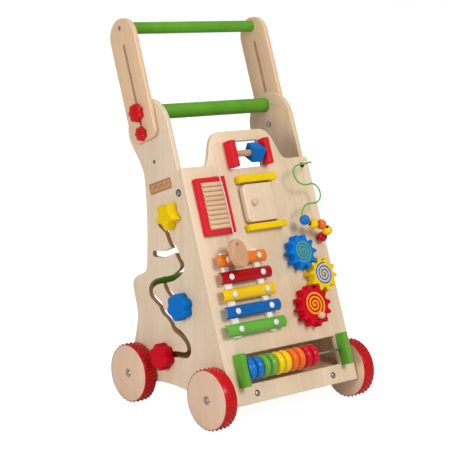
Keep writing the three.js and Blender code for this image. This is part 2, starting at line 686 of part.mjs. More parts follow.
const WIRE_ROUTE = [
  [116.2, 354.4, -6], [116.2, 354.4, 8], [116.2, 354.2, 18], [113, 353, 25.5], [103, 351.8, 27],
  [88, 351, 26], [75.5, 347.5, 26], [70, 339.5, 26], [72.5, 327, 26], [81.5, 319.3, 26],
  [93, 317.5, 26], [105.5, 318, 26], [115, 310.5, 26], [117, 299.5, 26], [112, 291, 26],
  [102, 286.6, 26], [90, 287, 26], [79, 284.6, 26], [71, 277.5, 26], [67.8, 269.5, 26],
  [70.6, 261.5, 26], [78, 256.5, 26], [87.3, 253.6, 26], [96, 252.8, 26], [104.1, 251, 26],
  [110.8, 246.2, 25.9], [115.9, 240.4, 24], [117.3, 235.9, 17.6], [116.2, 233.2, 9], [115.8, 233, -6],
];
const WIRE_BEADS = [
  { name: "blue", at: 20, material: blue },
  { name: "yellow_upper", at: 22, material: yellow },
  { name: "orange", at: 24, material: orange },
  { name: "yellow_lower", at: 26, material: yellow },
  { name: "red", at: 28, material: red },
];

function beadWire() {
  part(playFace, "bead_wire", tube(WIRE_ROUTE, 1.3, 6, 72), green);
  const profile = [
    [4, -6.4], [5.4, -6.1], [8.1, -1.6], [8.1, 1.6], [5.4, 6.1], [4, 6.4], [4, -6.4],
  ];
  const up = new THREE.Vector3(0, 1, 0);
  const curve = new THREE.CatmullRomCurve3(WIRE_ROUTE.map((point) => new THREE.Vector3(...point)));
  for (const { name, at, material } of WIRE_BEADS) {
    const along = curve.getTangent(at / (WIRE_ROUTE.length - 1));
    const bead = part(playFace, `wire_bead_${name}`, turned(profile, 14), material, WIRE_ROUTE[at]);
    bead.quaternion.setFromUnitVectors(up, along);
  }
}

const COUNTER_ROD = { y: 51.9, z: 7, radius: 1.6 };
const COUNTER = { first: -101.4, pitch: 28.75, disc: 14.2, radius: 17.75 };
const COUNTER_COLOURS = { blue, green, yellow, orange, red };

function counter() {
  const { y, z, radius } = COUNTER_ROD;
  const blocks = [-1, 1].map((sign) => block(...span(sign, 102.6, 112), 26, 77, GLUE, 19.5));
  part(playFace, "counter_rack", join(...blocks, rodX(radius, y, z, -104, 104, 12)), green);

  const wide = COUNTER.disc;
  const full = COUNTER.radius;
  const rim = (from) => [
    [full - 3, from], [full, from + 3], [full, from + wide - 3], [full - 3, from + wide],
  ];
  const profile = [[radius + 0.6, 0], ...rim(0), ...rim(wide).slice(1), [radius + 0.6, wide * 2]];
  profile.push(profile[0]);
  Object.entries(COUNTER_COLOURS).forEach(([name, material], i) => {
    const pair = turned(profile, 18).rotateZ(-Math.PI / 2);
    part(playFace, `counter_beads_${name}`, pair, material, [COUNTER.first + i * COUNTER.pitch, y, z]);
  });
}

sidePanels();
trackShapes();
frame();
handle();
clamps();
wheels();
washboard();
beater();
door();
boltToy();
xylophone();
gears();
beadWire();
counter();

export default walker;
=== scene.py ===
import bpy
import bmesh
import json
from math import asin, atan2, ceil, cos, dist, hypot, pi, radians, sin, tan
from mathutils import Matrix, Vector


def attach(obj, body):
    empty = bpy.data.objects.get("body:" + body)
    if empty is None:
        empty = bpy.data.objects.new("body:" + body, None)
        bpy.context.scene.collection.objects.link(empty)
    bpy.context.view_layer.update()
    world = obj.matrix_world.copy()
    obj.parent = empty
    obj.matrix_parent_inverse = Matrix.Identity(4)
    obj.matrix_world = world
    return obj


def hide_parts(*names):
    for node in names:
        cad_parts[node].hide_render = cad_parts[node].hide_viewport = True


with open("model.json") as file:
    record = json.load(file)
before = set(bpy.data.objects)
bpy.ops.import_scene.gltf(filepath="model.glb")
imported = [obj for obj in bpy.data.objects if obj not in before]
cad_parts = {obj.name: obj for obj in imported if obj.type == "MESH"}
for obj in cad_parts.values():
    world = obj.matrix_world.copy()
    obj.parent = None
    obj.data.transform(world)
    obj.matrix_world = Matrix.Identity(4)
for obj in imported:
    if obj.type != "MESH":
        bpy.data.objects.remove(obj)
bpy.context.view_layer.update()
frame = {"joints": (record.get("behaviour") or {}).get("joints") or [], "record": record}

# ------------ driving dimensions (mm)
MM = 0.001
TILT = radians(20.34)  # the play panel and the arms lean back this much
AXLE_TO_CENTRE = 107.6  # from the front axle back to the row frame's origin
PANEL_FOOT = (-33.7, 38.3)  # y and z of the bottom edge of the play panel's front face
PLY = 8
HALF_WIDTH = 131.25
INNER_HALF = HALF_WIDTH - PLY
SLIP = 0.4
GLUE = 0.3
FIXED_BAR = (189.2, 460.4)
FIXED_BAR_RADIUS = 11.7
LOWER_BAR = (197, 185)
LOWER_BAR_RADIUS = 11.5
HANDLE_REACH = 137
HANDLE_RADIUS = 9.3
LOWER_CLAMP = -33.3
AXLE_HEIGHT = 47.2
WHEELBASE = 194.5
WHEEL_INNER = 133.65
WHEEL_OUTER = 156.65
SIDES = (("left", -1), ("right", 1))

RECORD = frame["record"]
BODY_OF = {node: body for body, nodes in RECORD["behaviour"]["bodies"].items() for node in nodes}

# ------------ the walker's own frames
# Each piece is drawn in millimetres in one of these, and its object carries the matrix.
TURN_TO_X = Matrix(((0, 0, 1, 0), (1, 0, 0, 0), (0, 1, 0, 0), (0, 0, 0, 1)))


def shift(x, y, z):
    return Matrix.Translation(Vector((x, y, z)) * MM)


WALKER = shift(0, -AXLE_TO_CENTRE, 0)
# x across the panel, y up the slope from its bottom edge, z out of its face
PLAY = WALKER @ shift(0, *PANEL_FOOT) @ Matrix.Rotation(pi / 2 - TILT, 4, "X")
# x to the rear, y up, z to the right
SIDE = WALKER @ TURN_TO_X
# y up the arm from the fixed bar, x across the arm, z to the right
ARM = SIDE @ shift(*FIXED_BAR, 0) @ Matrix.Rotation(-TILT, 4, "Z")


# ------------ outlines
def polar(radius, angle, cx=0.0, cy=0.0):
    return cx + radius * cos(angle), cy + radius * sin(angle)


class Outline:
    """A 2-D line in millimetres made of straight, curved and round stretches."""

    def __init__(self, x, y):
        self.points = [(x, y)]

    def line(self, *points):
        self.points += points
        return self

    def arc(self, cx, cy, radius, start, end, steps=None):
        steps = steps or max(3, ceil(abs(end - start) / radians(7)))
        for i in range(steps + 1):
            self.points.append(polar(radius, start + (end - start) * i / steps, cx, cy))
        return self

    def curve(self, first, second, end, steps=12):
        start = self.points[-1]
        for i in range(1, steps + 1):
            t = i / steps
            weights = ((1 - t) ** 3, 3 * t * (1 - t) ** 2, 3 * t * t * (1 - t), t**3)
            points = (start, first, second, end)
            self.points.append(tuple(sum(w * p[k] for w, p in zip(weights, points)) for k in (0, 1)))
        return self

    def bend(self, control, end, steps=6):
        start = self.points[-1]
        first = tuple(start[k] + (control[k] - start[k]) * 2 / 3 for k in (0, 1))
        second = tuple(end[k] + (control[k] - end[k]) * 2 / 3 for k in (0, 1))
        return self.curve(first, second, end, steps)


def half_oval(cx, cy, half_wide, high, steps=28):
    """The upper half of an oval, from its right end to its left end."""
    turns = [pi * i / steps for i in range(steps + 1)]
    return [(cx + half_wide * cos(a), cy + high * sin(a)) for a in turns]


def oval(cx, cy, half_wide, half_high=None, steps=40):
    half_high = half_high or half_wide
    turns = [2 * pi * i / steps for i in range(steps)]
    return [(cx + half_wide * cos(a), cy + half_high * sin(a)) for a in turns]


def rounded_box(x0, x1, y0, y1, r, steps=5):
    corners = ((x1 - r, y0 + r, -0.5), (x1 - r, y1 - r, 0), (x0 + r, y1 - r, 0.5), (x0 + r, y0 + r, 1))
    line = []
    for cx, cy, turn in corners:
        line += [polar(r, (turn + 0.5 * i / steps) * pi, cx, cy) for i in range(steps + 1)]
    return line


def lobes(count, inner, outer, turn, power, per_lobe=14):
    """A round outline with this many lobes between two radii."""
    line = []
    for i in range(count * per_lobe):
        angle = 2 * pi * i / (count * per_lobe)
        swing = ((1 + cos(count * angle)) / 2) ** power
        line.append(polar(inner + (outer - inner) * swing, angle + turn))
    return line


def smooth_through(points, per_span=6):
    """The points of a smooth curve through a list of 2-D or 3-D points."""
    line = []
    size = len(points[0])
    last = len(points) - 1
    for i in range(last):
        a, b, c, d = points[max(i - 1, 0)], points[i], points[i + 1], points[min(i + 2, last)]
        for step in range(per_span):
            t = step / per_span
            line.append(tuple(
                0.5 * (2 * b[k] + (c[k] - a[k]) * t + (2 * a[k] - 5 * b[k] + 4 * c[k] - d[k]) * t * t
                       + (3 * b[k] - a[k] - 3 * c[k] + d[k]) * t**3)
                for k in range(size)))
    line.append(tuple(points[-1]))
    return line


def ribbon(line, width):
    """A closed outline of a band of this width along a 2-D line, with round ends."""
    half = width / 2
    ahead, back = [], []
    for i, point in enumerate(line):
        before, after = line[max(i - 1, 0)], line[min(i + 1, len(line) - 1)]
        length = dist(before, after)
        normal = (-(after[1] - before[1]) / length, (after[0] - before[0]) / length)
        ahead.append((point[0] + normal[0] * half, point[1] + normal[1] * half))
        back.insert(0, (point[0] - normal[0] * half, point[1] - normal[1] * half))
    caps = []
    for end, inner, rim in ((line[-1], line[-2], ahead[-1]), (line[0], line[1], back[-1])):
        start = atan2(rim[1] - end[1], rim[0] - end[0])
        caps.append([polar(half, start - k * pi / 8, *end) for k in range(1, 8)])
    # a tight bend folds its inner edge back over the band: those points are left out
    ahead, back = (
        [point for point in edge if min(dist(point, middle) for middle in line) > 0.97 * half]
        for edge in (ahead, back)
    )
    return ahead + caps[0] + back + caps[1]


def soften(corners, cuts, steps=4):
    """The corners of an outline, each turned into a short curve that starts this far from it."""
    line = []
    for i, corner in enumerate(corners):
        here, cut = Vector(corner), cuts[i % len(cuts)]
        before, after = Vector(corners[i - 1]), Vector(corners[(i + 1) % len(corners)])
        first = here + (before - here).normalized() * cut
        last = here + (after - here).normalized() * cut
        for step in range(steps + 1):
            t = step / steps
            spot = first * (1 - t) ** 2 + here * 2 * t * (1 - t) + last * t * t
            line.append((spot.x, spot.y))
    return line


# ------------ meshes
def in_scene(name, data):
    """A new object that holds this data."""
    item = bpy.data.objects.new(name, data)
    bpy.context.scene.collection.objects.link(item)
    return item


def tidy(mesh, sharp_angle=40):
    """Merges double points, closes the mesh, turns its faces outward and smooths its shading."""
    shape = bmesh.new()
    shape.from_mesh(mesh)
    bmesh.ops.remove_doubles(shape, verts=shape.verts, dist=2e-6)
    bmesh.ops.dissolve_degenerate(shape, edges=shape.edges, dist=1e-6)
    bmesh.ops.recalc_face_normals(shape, faces=shape.faces)
    shape.to_mesh(mesh)
    shape.free()
    mesh.shade_smooth()
    mesh.set_sharp_from_angle(angle=radians(sharp_angle))
    return mesh


def mesh_of(name, points, faces, sharp_angle=40):
    mesh = bpy.data.meshes.new(name)
    mesh.from_pydata([Vector(p) * MM for p in points], [], faces)
    return tidy(mesh, sharp_angle)


def from_curve(name, curve, sharp_angle):
    holder = in_scene(name, curve)
    ready = holder.evaluated_get(bpy.context.evaluated_depsgraph_get())
    mesh = bpy.data.meshes.new_from_object(ready)
    mesh.name = name
    bpy.data.objects.remove(holder)
    bpy.data.curves.remove(curve)
    return tidy(mesh, sharp_angle)


def plate(name, outline, z0, z1, edge=0.6, holes=(), sharp_angle=40, rounding=2):
    """A flat piece from z0 to z1 whose edges, its holes' too, are rounded by this radius."""
    curve = bpy.data.curves.new(name, "CURVE")
    curve.dimensions = "2D"
    curve.fill_mode = "BOTH"
    curve.extrude = ((z1 - z0) / 2 - edge) * MM
    curve.bevel_depth = edge * MM
    curve.bevel_resolution = rounding
    curve.offset = -edge * MM
    for line in (outline, *holes):
        points = line.points if isinstance(line, Outline) else line
        clean = [p for i, p in enumerate(points) if dist(p, points[i - 1]) > 0.02]
        spline = curve.splines.new("POLY")
        spline.points.add(len(clean) - 1)
        spline.use_cyclic_u = True
        for target, (x, y) in zip(spline.points, clean):
            target.co = (x * MM, y * MM, 0, 1)
    mesh = from_curve(name, curve, sharp_angle)
    mesh.transform(shift(0, 0, (z0 + z1) / 2))
    return mesh


def tube(name, path, radius, sides=8):
    """A round solid rod along a list of 3-D points."""
    curve = bpy.data.curves.new(name, "CURVE")
    curve.dimensions = "3D"
    curve.bevel_depth = radius * MM
    curve.bevel_resolution = sides // 2
    curve.use_fill_caps = True
    spline = curve.splines.new("POLY")
    spline.points.add(len(path) - 1)
    for target, point in zip(spline.points, path):
        target.co = (*(Vector(point) * MM), 1)
    return from_curve(name, curve, 60)


def twisted(name, path, radius, strands=3, pitch=4.6):
    """A cord along a list of 3-D points, of strands that wind round each other."""
    thick = radius * 0.54
    spots = [Vector(point) for point in path]
    along = (spots[1] - spots[0]).normalized()
    across = along.orthogonal().normalized()
    walked = 0.0
    routes = [[] for _ in range(strands)]
    for i, spot in enumerate(spots):
        ahead = (spots[min(i + 1, len(spots) - 1)] - spots[max(i - 1, 0)]).normalized()
        across = (across - ahead * across.dot(ahead)).normalized()
        if i:
            walked += (spot - spots[i - 1]).length
        for k in range(strands):
            turn = Matrix.Rotation(2 * pi * (walked / pitch + k / strands), 3, ahead)
            routes[k].append(tuple(spot + turn @ across * (radius - thick)))
    return combined(name, *[tube(name, route, thick, 6) for route in routes])


def turned(name, profile, sides=64, sharp_angle=40):
    """A solid turned about z from (radius, z) pairs. It closes on itself or on the axis."""
    closed = profile[0] == profile[-1]
    rings = profile[:-1] if closed else profile
    points, faces = [], []
    for radius, z in rings:
        points += [(*polar(radius, 2 * pi * i / sides), z) for i in range(sides)]
    for k in range(len(rings) if closed else len(rings) - 1):
        low, high = k * sides, ((k + 1) % len(rings)) * sides
        for i in range(sides):
            j = (i + 1) % sides
            faces.append((low + i, low + j, high + j, high + i))
    return mesh_of(name, points, faces, sharp_angle)


def lofted(name, rings, sharp_angle=40):
    """A solid skinned over rings of 3-D points, closed by a flat face at both ends."""
    count = len(rings[0])
    points = [point for ring in rings for point in ring]
    faces = [tuple(reversed(range(count)))]
    for k in range(len(rings) - 1):
        for i in range(count):
            j = (i + 1) % count
            faces.append((k * count + i, k * count + j, (k + 1) * count + j, (k + 1) * count + i))
    faces.append(tuple(range((len(rings) - 1) * count, len(rings) * count)))
    return mesh_of(name, points, faces, sharp_angle)


def combined(name, *meshes):
    """One mesh of several, each given as a mesh or as (mesh, matrix)."""
    shape = bmesh.new()
    for item in meshes:
        mesh, matrix = item if isinstance(item, tuple) else (item, Matrix.Identity(4))
        mesh.transform(matrix)
        shape.from_mesh(mesh)
        bpy.data.meshes.remove(mesh)
    whole = bpy.data.meshes.new(name)
    shape.to_mesh(whole)
    shape.free()
    return whole


def carved(mesh, cutters):
    """The mesh with the cutters' space taken out of it."""
    holder = in_scene("carving", mesh)
    tools = []
    for cutter in cutters:
        tool = in_scene("cutter", cutter)
        cut = holder.modifiers.new("cut", "BOOLEAN")
        cut.operation = "DIFFERENCE"
        cut.solver = "EXACT"
        cut.object = tool
        tools.append(tool)
    ready = holder.evaluated_get(bpy.context.evaluated_depsgraph_get())
    result = bpy.data.meshes.new_from_object(ready)
    for item in (holder, *tools):
        old = item.data
        bpy.data.objects.remove(item)
        bpy.data.meshes.remove(old)
    result.shade_smooth()
    result.set_sharp_from_angle(angle=radians(40))
    return result


# ------------ pieces
def add(name, mesh, place, material, body, stands_for=()):
    """A piece that rides on a body, and takes the place of these CAD nodes."""
    mesh.materials.clear()
    mesh.materials.append(material)
    piece = in_scene(name, mesh)
    piece.matrix_world = place
    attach(piece, body)
    if stands_for:
        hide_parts(*stands_for)
    return piece


def instead_of(node, mesh, place, material):
    """A finished piece that takes the place of one CAD node."""
    return add(f"{node}_look", mesh, place, material, BODY_OF[node], (node,))


def extra(name, mesh, place, material, node):
    """A small piece that goes with a CAD node."""
    return add(name, mesh, place, material, BODY_OF[node])


def side_front_edge(z):
    """How far to the rear the side panels' front edge lies at this height."""
    foot_y, foot_z = PANEL_FOOT
    return foot_y + (PLY + GLUE) / cos(TILT) + (z - foot_z) * tan(TILT)


# ------------ materials
class Shader:
    """A node material built a node at a time round one Principled BSDF."""

    def __init__(self, name, colour, roughness, metallic=0.0, coat=0.0, coat_roughness=0.1, shine=0.5):
        self.material = bpy.data.materials.new(name)
        self.material.use_nodes = True
        self.material.diffuse_color = (*colour, 1)
        self.tree = self.material.node_tree
        self.surface = self.tree.nodes["Principled BSDF"]
        settings = {"Base Color": colour, "Roughness": roughness, "Specular IOR Level": shine,
                    "Metallic": metallic, "Coat Weight": coat, "Coat Roughness": coat_roughness}
        for socket, value in settings.items():
            self.give(self.surface.inputs[socket], value)
        self.coordinates = self.tree.nodes.new("ShaderNodeTexCoord")
        self.place = self.coordinates.outputs["Object"]

    def give(self, socket, value):
        """Feeds an input from another node's output, or sets it to a constant."""
        if isinstance(value, bpy.types.NodeSocket):
            self.tree.links.new(value, socket)
        elif socket.type == "RGBA":
            socket.default_value = (*value, 1)
        else:
            socket.default_value = value

    def node(self, kind, inputs):
        made = self.tree.nodes.new(f"ShaderNode{kind}")
        for name, value in inputs.items():
            self.give(made.inputs[name], value)
        return made

    def lean(self, angle):
        """Turns the coordinates about local z, for a board that leans over."""
        self.place = self.stretched((1, 1, 1), (0, 0, angle))

    def stretched(self, scale, turn=(0, 0, 0)):
        """The piece's own coordinates, scaled a different amount along each axis."""
        node = self.node("Mapping", {"Scale": scale, "Rotation": turn, "Vector": self.place})
        return node.outputs["Vector"]

    def noise(self, scale, detail=3.0, distortion=0.0):
        """Noise on the piece's own coordinates, scaled by one number or by one for each axis."""
        vector = self.stretched(scale if isinstance(scale, tuple) else (scale, scale, scale))
        settings = {"Vector": vector, "Scale": 1.0, "Detail": detail, "Distortion": distortion}
        return self.node("TexNoise", settings).outputs["Fac"]

    def bands(self, value, stops, constant=False):
        """A colour or grey ramp: stops are (position, colour) pairs."""
        ramp = self.node("ValToRGB", {"Fac": value})
        ramp.color_ramp.interpolation = "CONSTANT" if constant else "LINEAR"
        elements = ramp.color_ramp.elements
        while len(elements) < len(stops):
            elements.new(1.0)
        for element, (position, colour) in zip(elements, stops):
            element.position = position
            element.color = (*colour, 1)
        return ramp.outputs["Color"]

    def mix(self, factor, first, second, blend="MIX"):
        node = self.tree.nodes.new("ShaderNodeMix")
        node.data_type = "RGBA"
        node.blend_type = blend
        for index, value in ((0, factor), (6, first), (7, second)):
            self.give(node.inputs[index], value)
        return node.outputs[2]

    def sum(self, operation, first, second=0.0, third=0.0):
        node = self.node("Math", {0: first, 1: second, 2: third})
        node.operation = operation
        return node.outputs[0]

    def bump(self, height, strength, distance=0.0003):
        node = self.node("Bump", {"Strength": strength, "Distance": distance, "Height": height})
        self.give(self.surface.inputs["Normal"], node.outputs["Normal"])

    def split(self, kind):
        """The x, y and z of the piece's own Object or Normal coordinates."""
        return self.node("SeparateXYZ", {0: self.coordinates.outputs[kind]}).outputs

    def colour_from(self, socket):
        self.give(self.surface.inputs["Base Color"], socket)

    def patchy(self, value, low, high):
        self.colour_from(self.bands(value, [(0.3, low), (0.7, high)]))

    def roughness_from(self, value, low, high):
        node = self.node("MapRange", {"To Min": low, "To Max": high, "Value": value})
        self.give(self.surface.inputs["Roughness"], node.outputs["Result"])


def srgb(red, green, blue):
    """A linear colour from the usual 0 to 255 values."""
    def linear(value):
        value /= 255
        return value / 12.92 if value <= 0.04045 else ((value + 0.055) / 1.055) ** 2.4
    return tuple(linear(value) for value in (red, green, blue))


def times(colour, *factors):
    """A colour multiplied by one factor, or by one each for red, green and blue."""
    return tuple(c * f for c, f in zip(colour, factors * 3))


GRAIN_ALONG = {"x": (0, 1, 1), "y": (1, 0, 1), "z": (1, 1, 0)}
WHITE = (1, 1, 1)


def grain_scale(axis, across, along):
    return tuple(across if step else along for step in GRAIN_ALONG[axis])


def wood(name, light, dark, along="y", layers=None, roughness=0.42, coat=0.12, figure=0.55, lean=0.0,
         finish=None):
    """Varnished wood with its grain along one of the piece's axes.

    layers is (middle, thickness) in mm of a plywood board across local z: its edges then show
    the layers of veneer, alternately end grain and long grain. finish adds what only one piece
    has."""
    shader = Shader(name, light, roughness, coat=coat, coat_roughness=0.22)
    if lean:
        shader.lean(lean)
    broad = shader.noise(grain_scale(along, 26, 1.6), 4, 0.6)
    streaks = shader.noise(grain_scale(along, 190, 5), 5)
    fibres = shader.noise(grain_scale(along, 1500, 34), 2)
    blend = shader.sum("MULTIPLY_ADD", streaks, 0.45, shader.sum("MULTIPLY", broad, 0.55))
    tone = shader.bands(blend, [(0.36, dark), (0.62, light)])
    face = shader.mix(figure, light, tone)
    pores = shader.bands(fibres, [(0.28, (0.86, 0.82, 0.77)), (0.42, WHITE)])
    face = shader.mix(0.55, face, pores, "MULTIPLY")
    wash = shader.bands(shader.noise(9, 2), [(0.3, (0.955, 0.94, 0.92)), (0.7, WHITE)])
    face = shader.mix(0.8, face, wash, "MULTIPLY")
    if layers:
        face = plywood_edge(shader, face, light, *layers)
    if finish:
        face = finish(shader, face)
    shader.colour_from(face)
    shader.roughness_from(streaks, roughness - 0.05, roughness + 0.1)
    shader.bump(fibres, 0.12, 0.0002)
    return shader.material


def shaded_track_walls(shader, face):
    """Browns the edges that lie well inside the side panel, the walls of its track, as painted shade in the
    track.
    """
    split = shader.split("Object")
    slope = shader.sum("MULTIPLY", split["Y"], tan(TILT))
    foot_line = (side_front_edge(0) + 12) * MM
    inside = shader.sum("GREATER_THAN", shader.sum("SUBTRACT", split["X"], slope), foot_line)
    limits = (("X", "LESS_THAN", 174), ("Y", "GREATER_THAN", 66), ("Y", "LESS_THAN", 330))
    for axis, operation, limit in limits:
        inside = shader.sum("MULTIPLY", inside, shader.sum(operation, split[axis], limit * MM))
    return shader.mix(shader.sum("MULTIPLY", inside, on_edge(shader)), face, TRACK_WALL_SHADE)


def on_edge(shader):
    """One where the surface faces away from local z, and nought elsewhere."""
    return shader.sum("LESS_THAN", shader.sum("ABSOLUTE", shader.split("Normal")["Z"]), 0.6)


def growth_rings(shader, face):
    """Thin darker lines across local y, a little wavy."""
    wander = shader.noise((25, 90, 60), 2)
    height = shader.sum("MULTIPLY_ADD", wander, 1.6 * RING_PITCH * MM, shader.split("Object")["Y"])
    wave = shader.sum("SINE", shader.sum("MULTIPLY", height, 2 * pi / (RING_PITCH * MM)))
    lines = shader.bands(wave, [(0.0, WHITE), (0.35, WHITE), (0.9, (0.72, 0.62, 0.54))])
    return shader.mix(0.75, face, lines, "MULTIPLY")


def thread_shade_and_dirt(shader, face):
    """Darkens what lies nearest to local z, the bottom of the screw's thread: painted shade there, with the
    dirt that gathers in it, and the crests painted a little lighter.
    """
    low, high = SCREW_THREAD
    split = shader.split("Object")
    squares = [shader.sum("MULTIPLY", split[axis], split[axis]) for axis in "XY"]
    radius = shader.sum("SQRT", shader.sum("ADD", *squares))
    share = shader.sum("DIVIDE", shader.sum("SUBTRACT", radius, low * MM), (high - low) * MM)
    tone = shader.bands(share, [(0.15, (0.42, 0.32, 0.26)), (0.85, (1.06, 1.05, 1.04))])
    return shader.mix(1.0, face, tone, "MULTIPLY")


def plywood_edge(shader, face, light, middle, thickness):
    """Puts the veneer layers on the surfaces that face away from local z."""
    bottom = (middle - thickness / 2) * MM
    above = shader.sum("SUBTRACT", shader.split("Object")["Z"], bottom)
    depth = shader.sum("DIVIDE", above, thickness * MM)
    wavy = shader.sum("MULTIPLY_ADD", shader.noise(40), 0.03, depth)
    pale = tuple(min(1.0, c * 1.06 + 0.02) for c in light)
    brown, glue = times(light, 0.80, 0.72, 0.64), times(light, 0.62, 0.52, 0.44)
    stops = []
    for layer in range(VENEERS):
        start = layer / VENEERS
        stops.append((start, glue if layer else pale))
        stops.append((start + 0.012, brown if layer % 2 else pale))
    stripes = shader.bands(wavy, stops, constant=True)
    end_grain = shader.bands(shader.noise((1400, 1400, 300), 2), [(0.3, (0.86, 0.83, 0.8)), (0.6, WHITE)])
    stripes = shader.mix(0.5, stripes, end_grain, "MULTIPLY")
    return shader.mix(on_edge(shader), face, shader.mix(0.15, stripes, pale))


def paint(name, colour, along="y", roughness=0.42, coat=0.02):
    """Paint on wood: a little lighter and darker in places, with the grain just felt under it."""
    shader = Shader(name, colour, roughness, coat=coat, coat_roughness=0.07, shine=0.07)
    fibres = shader.noise(grain_scale(along, 700, 40))
    high = tuple(min(1.0, c) for c in times(colour, 1.08))
    shader.patchy(shader.noise(22), times(colour, 0.92), high)
    shader.roughness_from(fibres, roughness - 0.06, roughness + 0.1)
    shader.bump(fibres, 0.12, 0.0002)
    return shader.material


def enamel(name, colour):
    """Glossy baked paint on metal, with a faint orange-peel surface."""
    shader = Shader(name, colour, 0.2, coat=0.32, coat_roughness=0.05, shine=0.1)
    shader.patchy(shader.noise(30, 2), times(colour, 0.92), colour)
    shader.bump(shader.noise(420, 1), 0.05)
    return shader.material


def plastic(name, colour, roughness=0.14):
    shader = Shader(name, colour, roughness, coat=0.25, coat_roughness=0.05, shine=0.12)
    drift = shader.noise(60, 2)
    shader.patchy(drift, times(colour, 0.88), colour)
    shader.roughness_from(drift, roughness - 0.03, roughness + 0.08)
    return shader.material


def rubber(name, colour):
    """Soft shiny rubber, its gloss a little uneven in fine speckles."""
    shader = Shader(name, colour, 0.3, coat=0.15, coat_roughness=0.12, shine=0.15)
    speckle = shader.noise(260, 4)
    shader.patchy(shader.noise(35, 2), times(colour, 0.86), colour)
    shader.roughness_from(speckle, 0.26, 0.42)
    shader.bump(speckle, 0.08, 0.0002)
    return shader.material


def metal(name, colour, roughness=0.28):
    """Zinc-plated steel, turned so that the fine marks run round the rod."""
    shader = Shader(name, colour, roughness, metallic=1.0)
    marks = shader.noise((900, 900, 2600), 2)
    shader.patchy(shader.noise(120, 2), times(colour, 0.8), colour)
    shader.roughness_from(marks, roughness - 0.06, roughness + 0.12)
    shader.bump(marks, 0.06, 0.0001)
    return shader.material


def cotton(name, colour):
    """Twisted cord: slanting stripes of painted shade stand for the creases between its strands."""
    shader = Shader(name, colour, 0.85)
    vector = shader.stretched((900, 900, 900), (0.4, 0.5, 0.7))
    wave = shader.node("TexWave", {"Scale": 1.0, "Distortion": 1.2, "Vector": vector}).outputs["Fac"]
    shader.colour_from(shader.bands(wave, [(0.2, times(colour, 0.62)), (0.7, colour)]))
    shader.bump(wave, 0.4)
    shader.surface.inputs["Sheen Weight"].default_value = 0.3
    return shader.material


# ------------ the finishes in use
VENEERS = 5
RING_PITCH = 2.9  # mm between the growth rings on the beater
SCREW_THREAD = (3.9, 5.2)  # the toy screw's radius in the groove and on the crest
TRACK_WALL_SHADE = srgb(186, 146, 114)  # painted shade on the walls of the side panel's track
BIRCH_LIGHT = srgb(226, 205, 175)
BIRCH_DARK = srgb(205, 178, 143)
ARM_MIDDLE = HALF_WIDTH + SLIP + PLY / 2
ARM_TONES = (srgb(226, 192, 154), srgb(204, 166, 124))
birch_panel = wood("birch_ply_panel", BIRCH_LIGHT, BIRCH_DARK, "y", (-PLY / 2, PLY))
birch_left = wood("birch_ply_left", BIRCH_LIGHT, BIRCH_DARK, "y", (-HALF_WIDTH + PLY / 2, PLY),
                  finish=shaded_track_walls)
# the right panel's birch is darker and warmer than the left's: painted shade for its inner face, which lies
# in the walker's shadow
birch_right_shaded = wood("birch_ply_right_shaded", srgb(224, 194, 160), srgb(200, 164, 126), "y",
                   (HALF_WIDTH - PLY / 2, PLY))
arm_left = wood("birch_ply_arm_left", *ARM_TONES, "y", (-ARM_MIDDLE, PLY), lean=TILT)
arm_right = wood("birch_ply_arm_right", *ARM_TONES, "y", (ARM_MIDDLE, PLY), lean=TILT)
board_wood = wood("plain_ply", srgb(196, 160, 122), srgb(172, 134, 96), "x", (57, 8), coat=0.0)
wheel_wood = wood("birch_ply_wheel", srgb(221, 188, 158), srgb(205, 168, 134), "x", (11.5, 23), figure=0.4)
beech = wood("beech", srgb(222, 186, 148), srgb(196, 152, 112), "y", figure=0.7)
door_wood = wood("birch_door", BIRCH_LIGHT, srgb(208, 180, 146), "y", figure=0.5)
beater_wood = wood("beech_beater", srgb(218, 172, 132), srgb(196, 146, 106), "x", figure=0.7,
                   finish=growth_rings)
beech_across = wood("beech_across", srgb(222, 190, 155), srgb(196, 156, 118), "x", figure=0.6)
screw_wood = wood("beech_screw", srgb(222, 184, 150), srgb(200, 158, 122), "z", figure=0.6,
                  finish=thread_shade_and_dirt)
plate_wood = wood("dark_beech", srgb(200, 146, 102), srgb(174, 118, 78), "x", roughness=0.5, coat=0.05)
burnt_wood = wood("burnt_lines", srgb(112, 74, 50), srgb(84, 54, 36), "x", roughness=0.7, coat=0.0)

RED = srgb(196, 4, 30)
YELLOW = srgb(226, 190, 6)
BLUE = srgb(2, 106, 184)
green_paint = paint("green_paint", srgb(96, 158, 52))
bar_paint = paint("green_bar_paint", srgb(92, 156, 44), "z", roughness=0.34)
red_paint = paint("red_paint", RED)
bright_red_paint = paint("bright_red_paint", srgb(208, 34, 46))
yellow_paint = paint("yellow_paint", YELLOW)
blue_paint = paint("blue_paint", BLUE)
white_paint = paint("white_paint", srgb(236, 234, 228), coat=0.2)
# the beads are glossier than the flat pieces
BEAD_COLOURS = {"blue": BLUE, "green": srgb(96, 158, 58), "yellow": YELLOW, "orange": srgb(232, 104, 26),
                "red": RED}
PAINTS = {name: paint(f"{name}_bead_paint", colour, roughness=0.25, coat=0.45)
          for name, colour in BEAD_COLOURS.items()}
BAR_COLOURS = {"orange": (236, 122, 20), "red": (168, 0, 14), "yellow": (236, 194, 12),
               "blue": (0, 96, 170), "green": (98, 170, 60)}
ENAMELS = {name: enamel(f"bar_{name}_enamel", srgb(*levels)) for name, levels in BAR_COLOURS.items()}
knob_plastic = plastic("red_knob_plastic", srgb(196, 12, 24))
white_plastic = plastic("white_plastic", srgb(226, 222, 224), 0.3)
black_plastic = plastic("black_plastic", srgb(22, 22, 24), 0.3)
tyre_rubber = rubber("red_rubber", srgb(196, 14, 20))
steel = metal("zinc_steel", srgb(196, 198, 202))
black_steel = metal("black_steel", srgb(58, 52, 46), 0.4)
dark_steel = metal("dark_steel", srgb(120, 122, 126), 0.35)
wire_coating = enamel("green_wire_coating", srgb(84, 172, 66))
string_cotton = cotton("white_string", srgb(236, 232, 222))


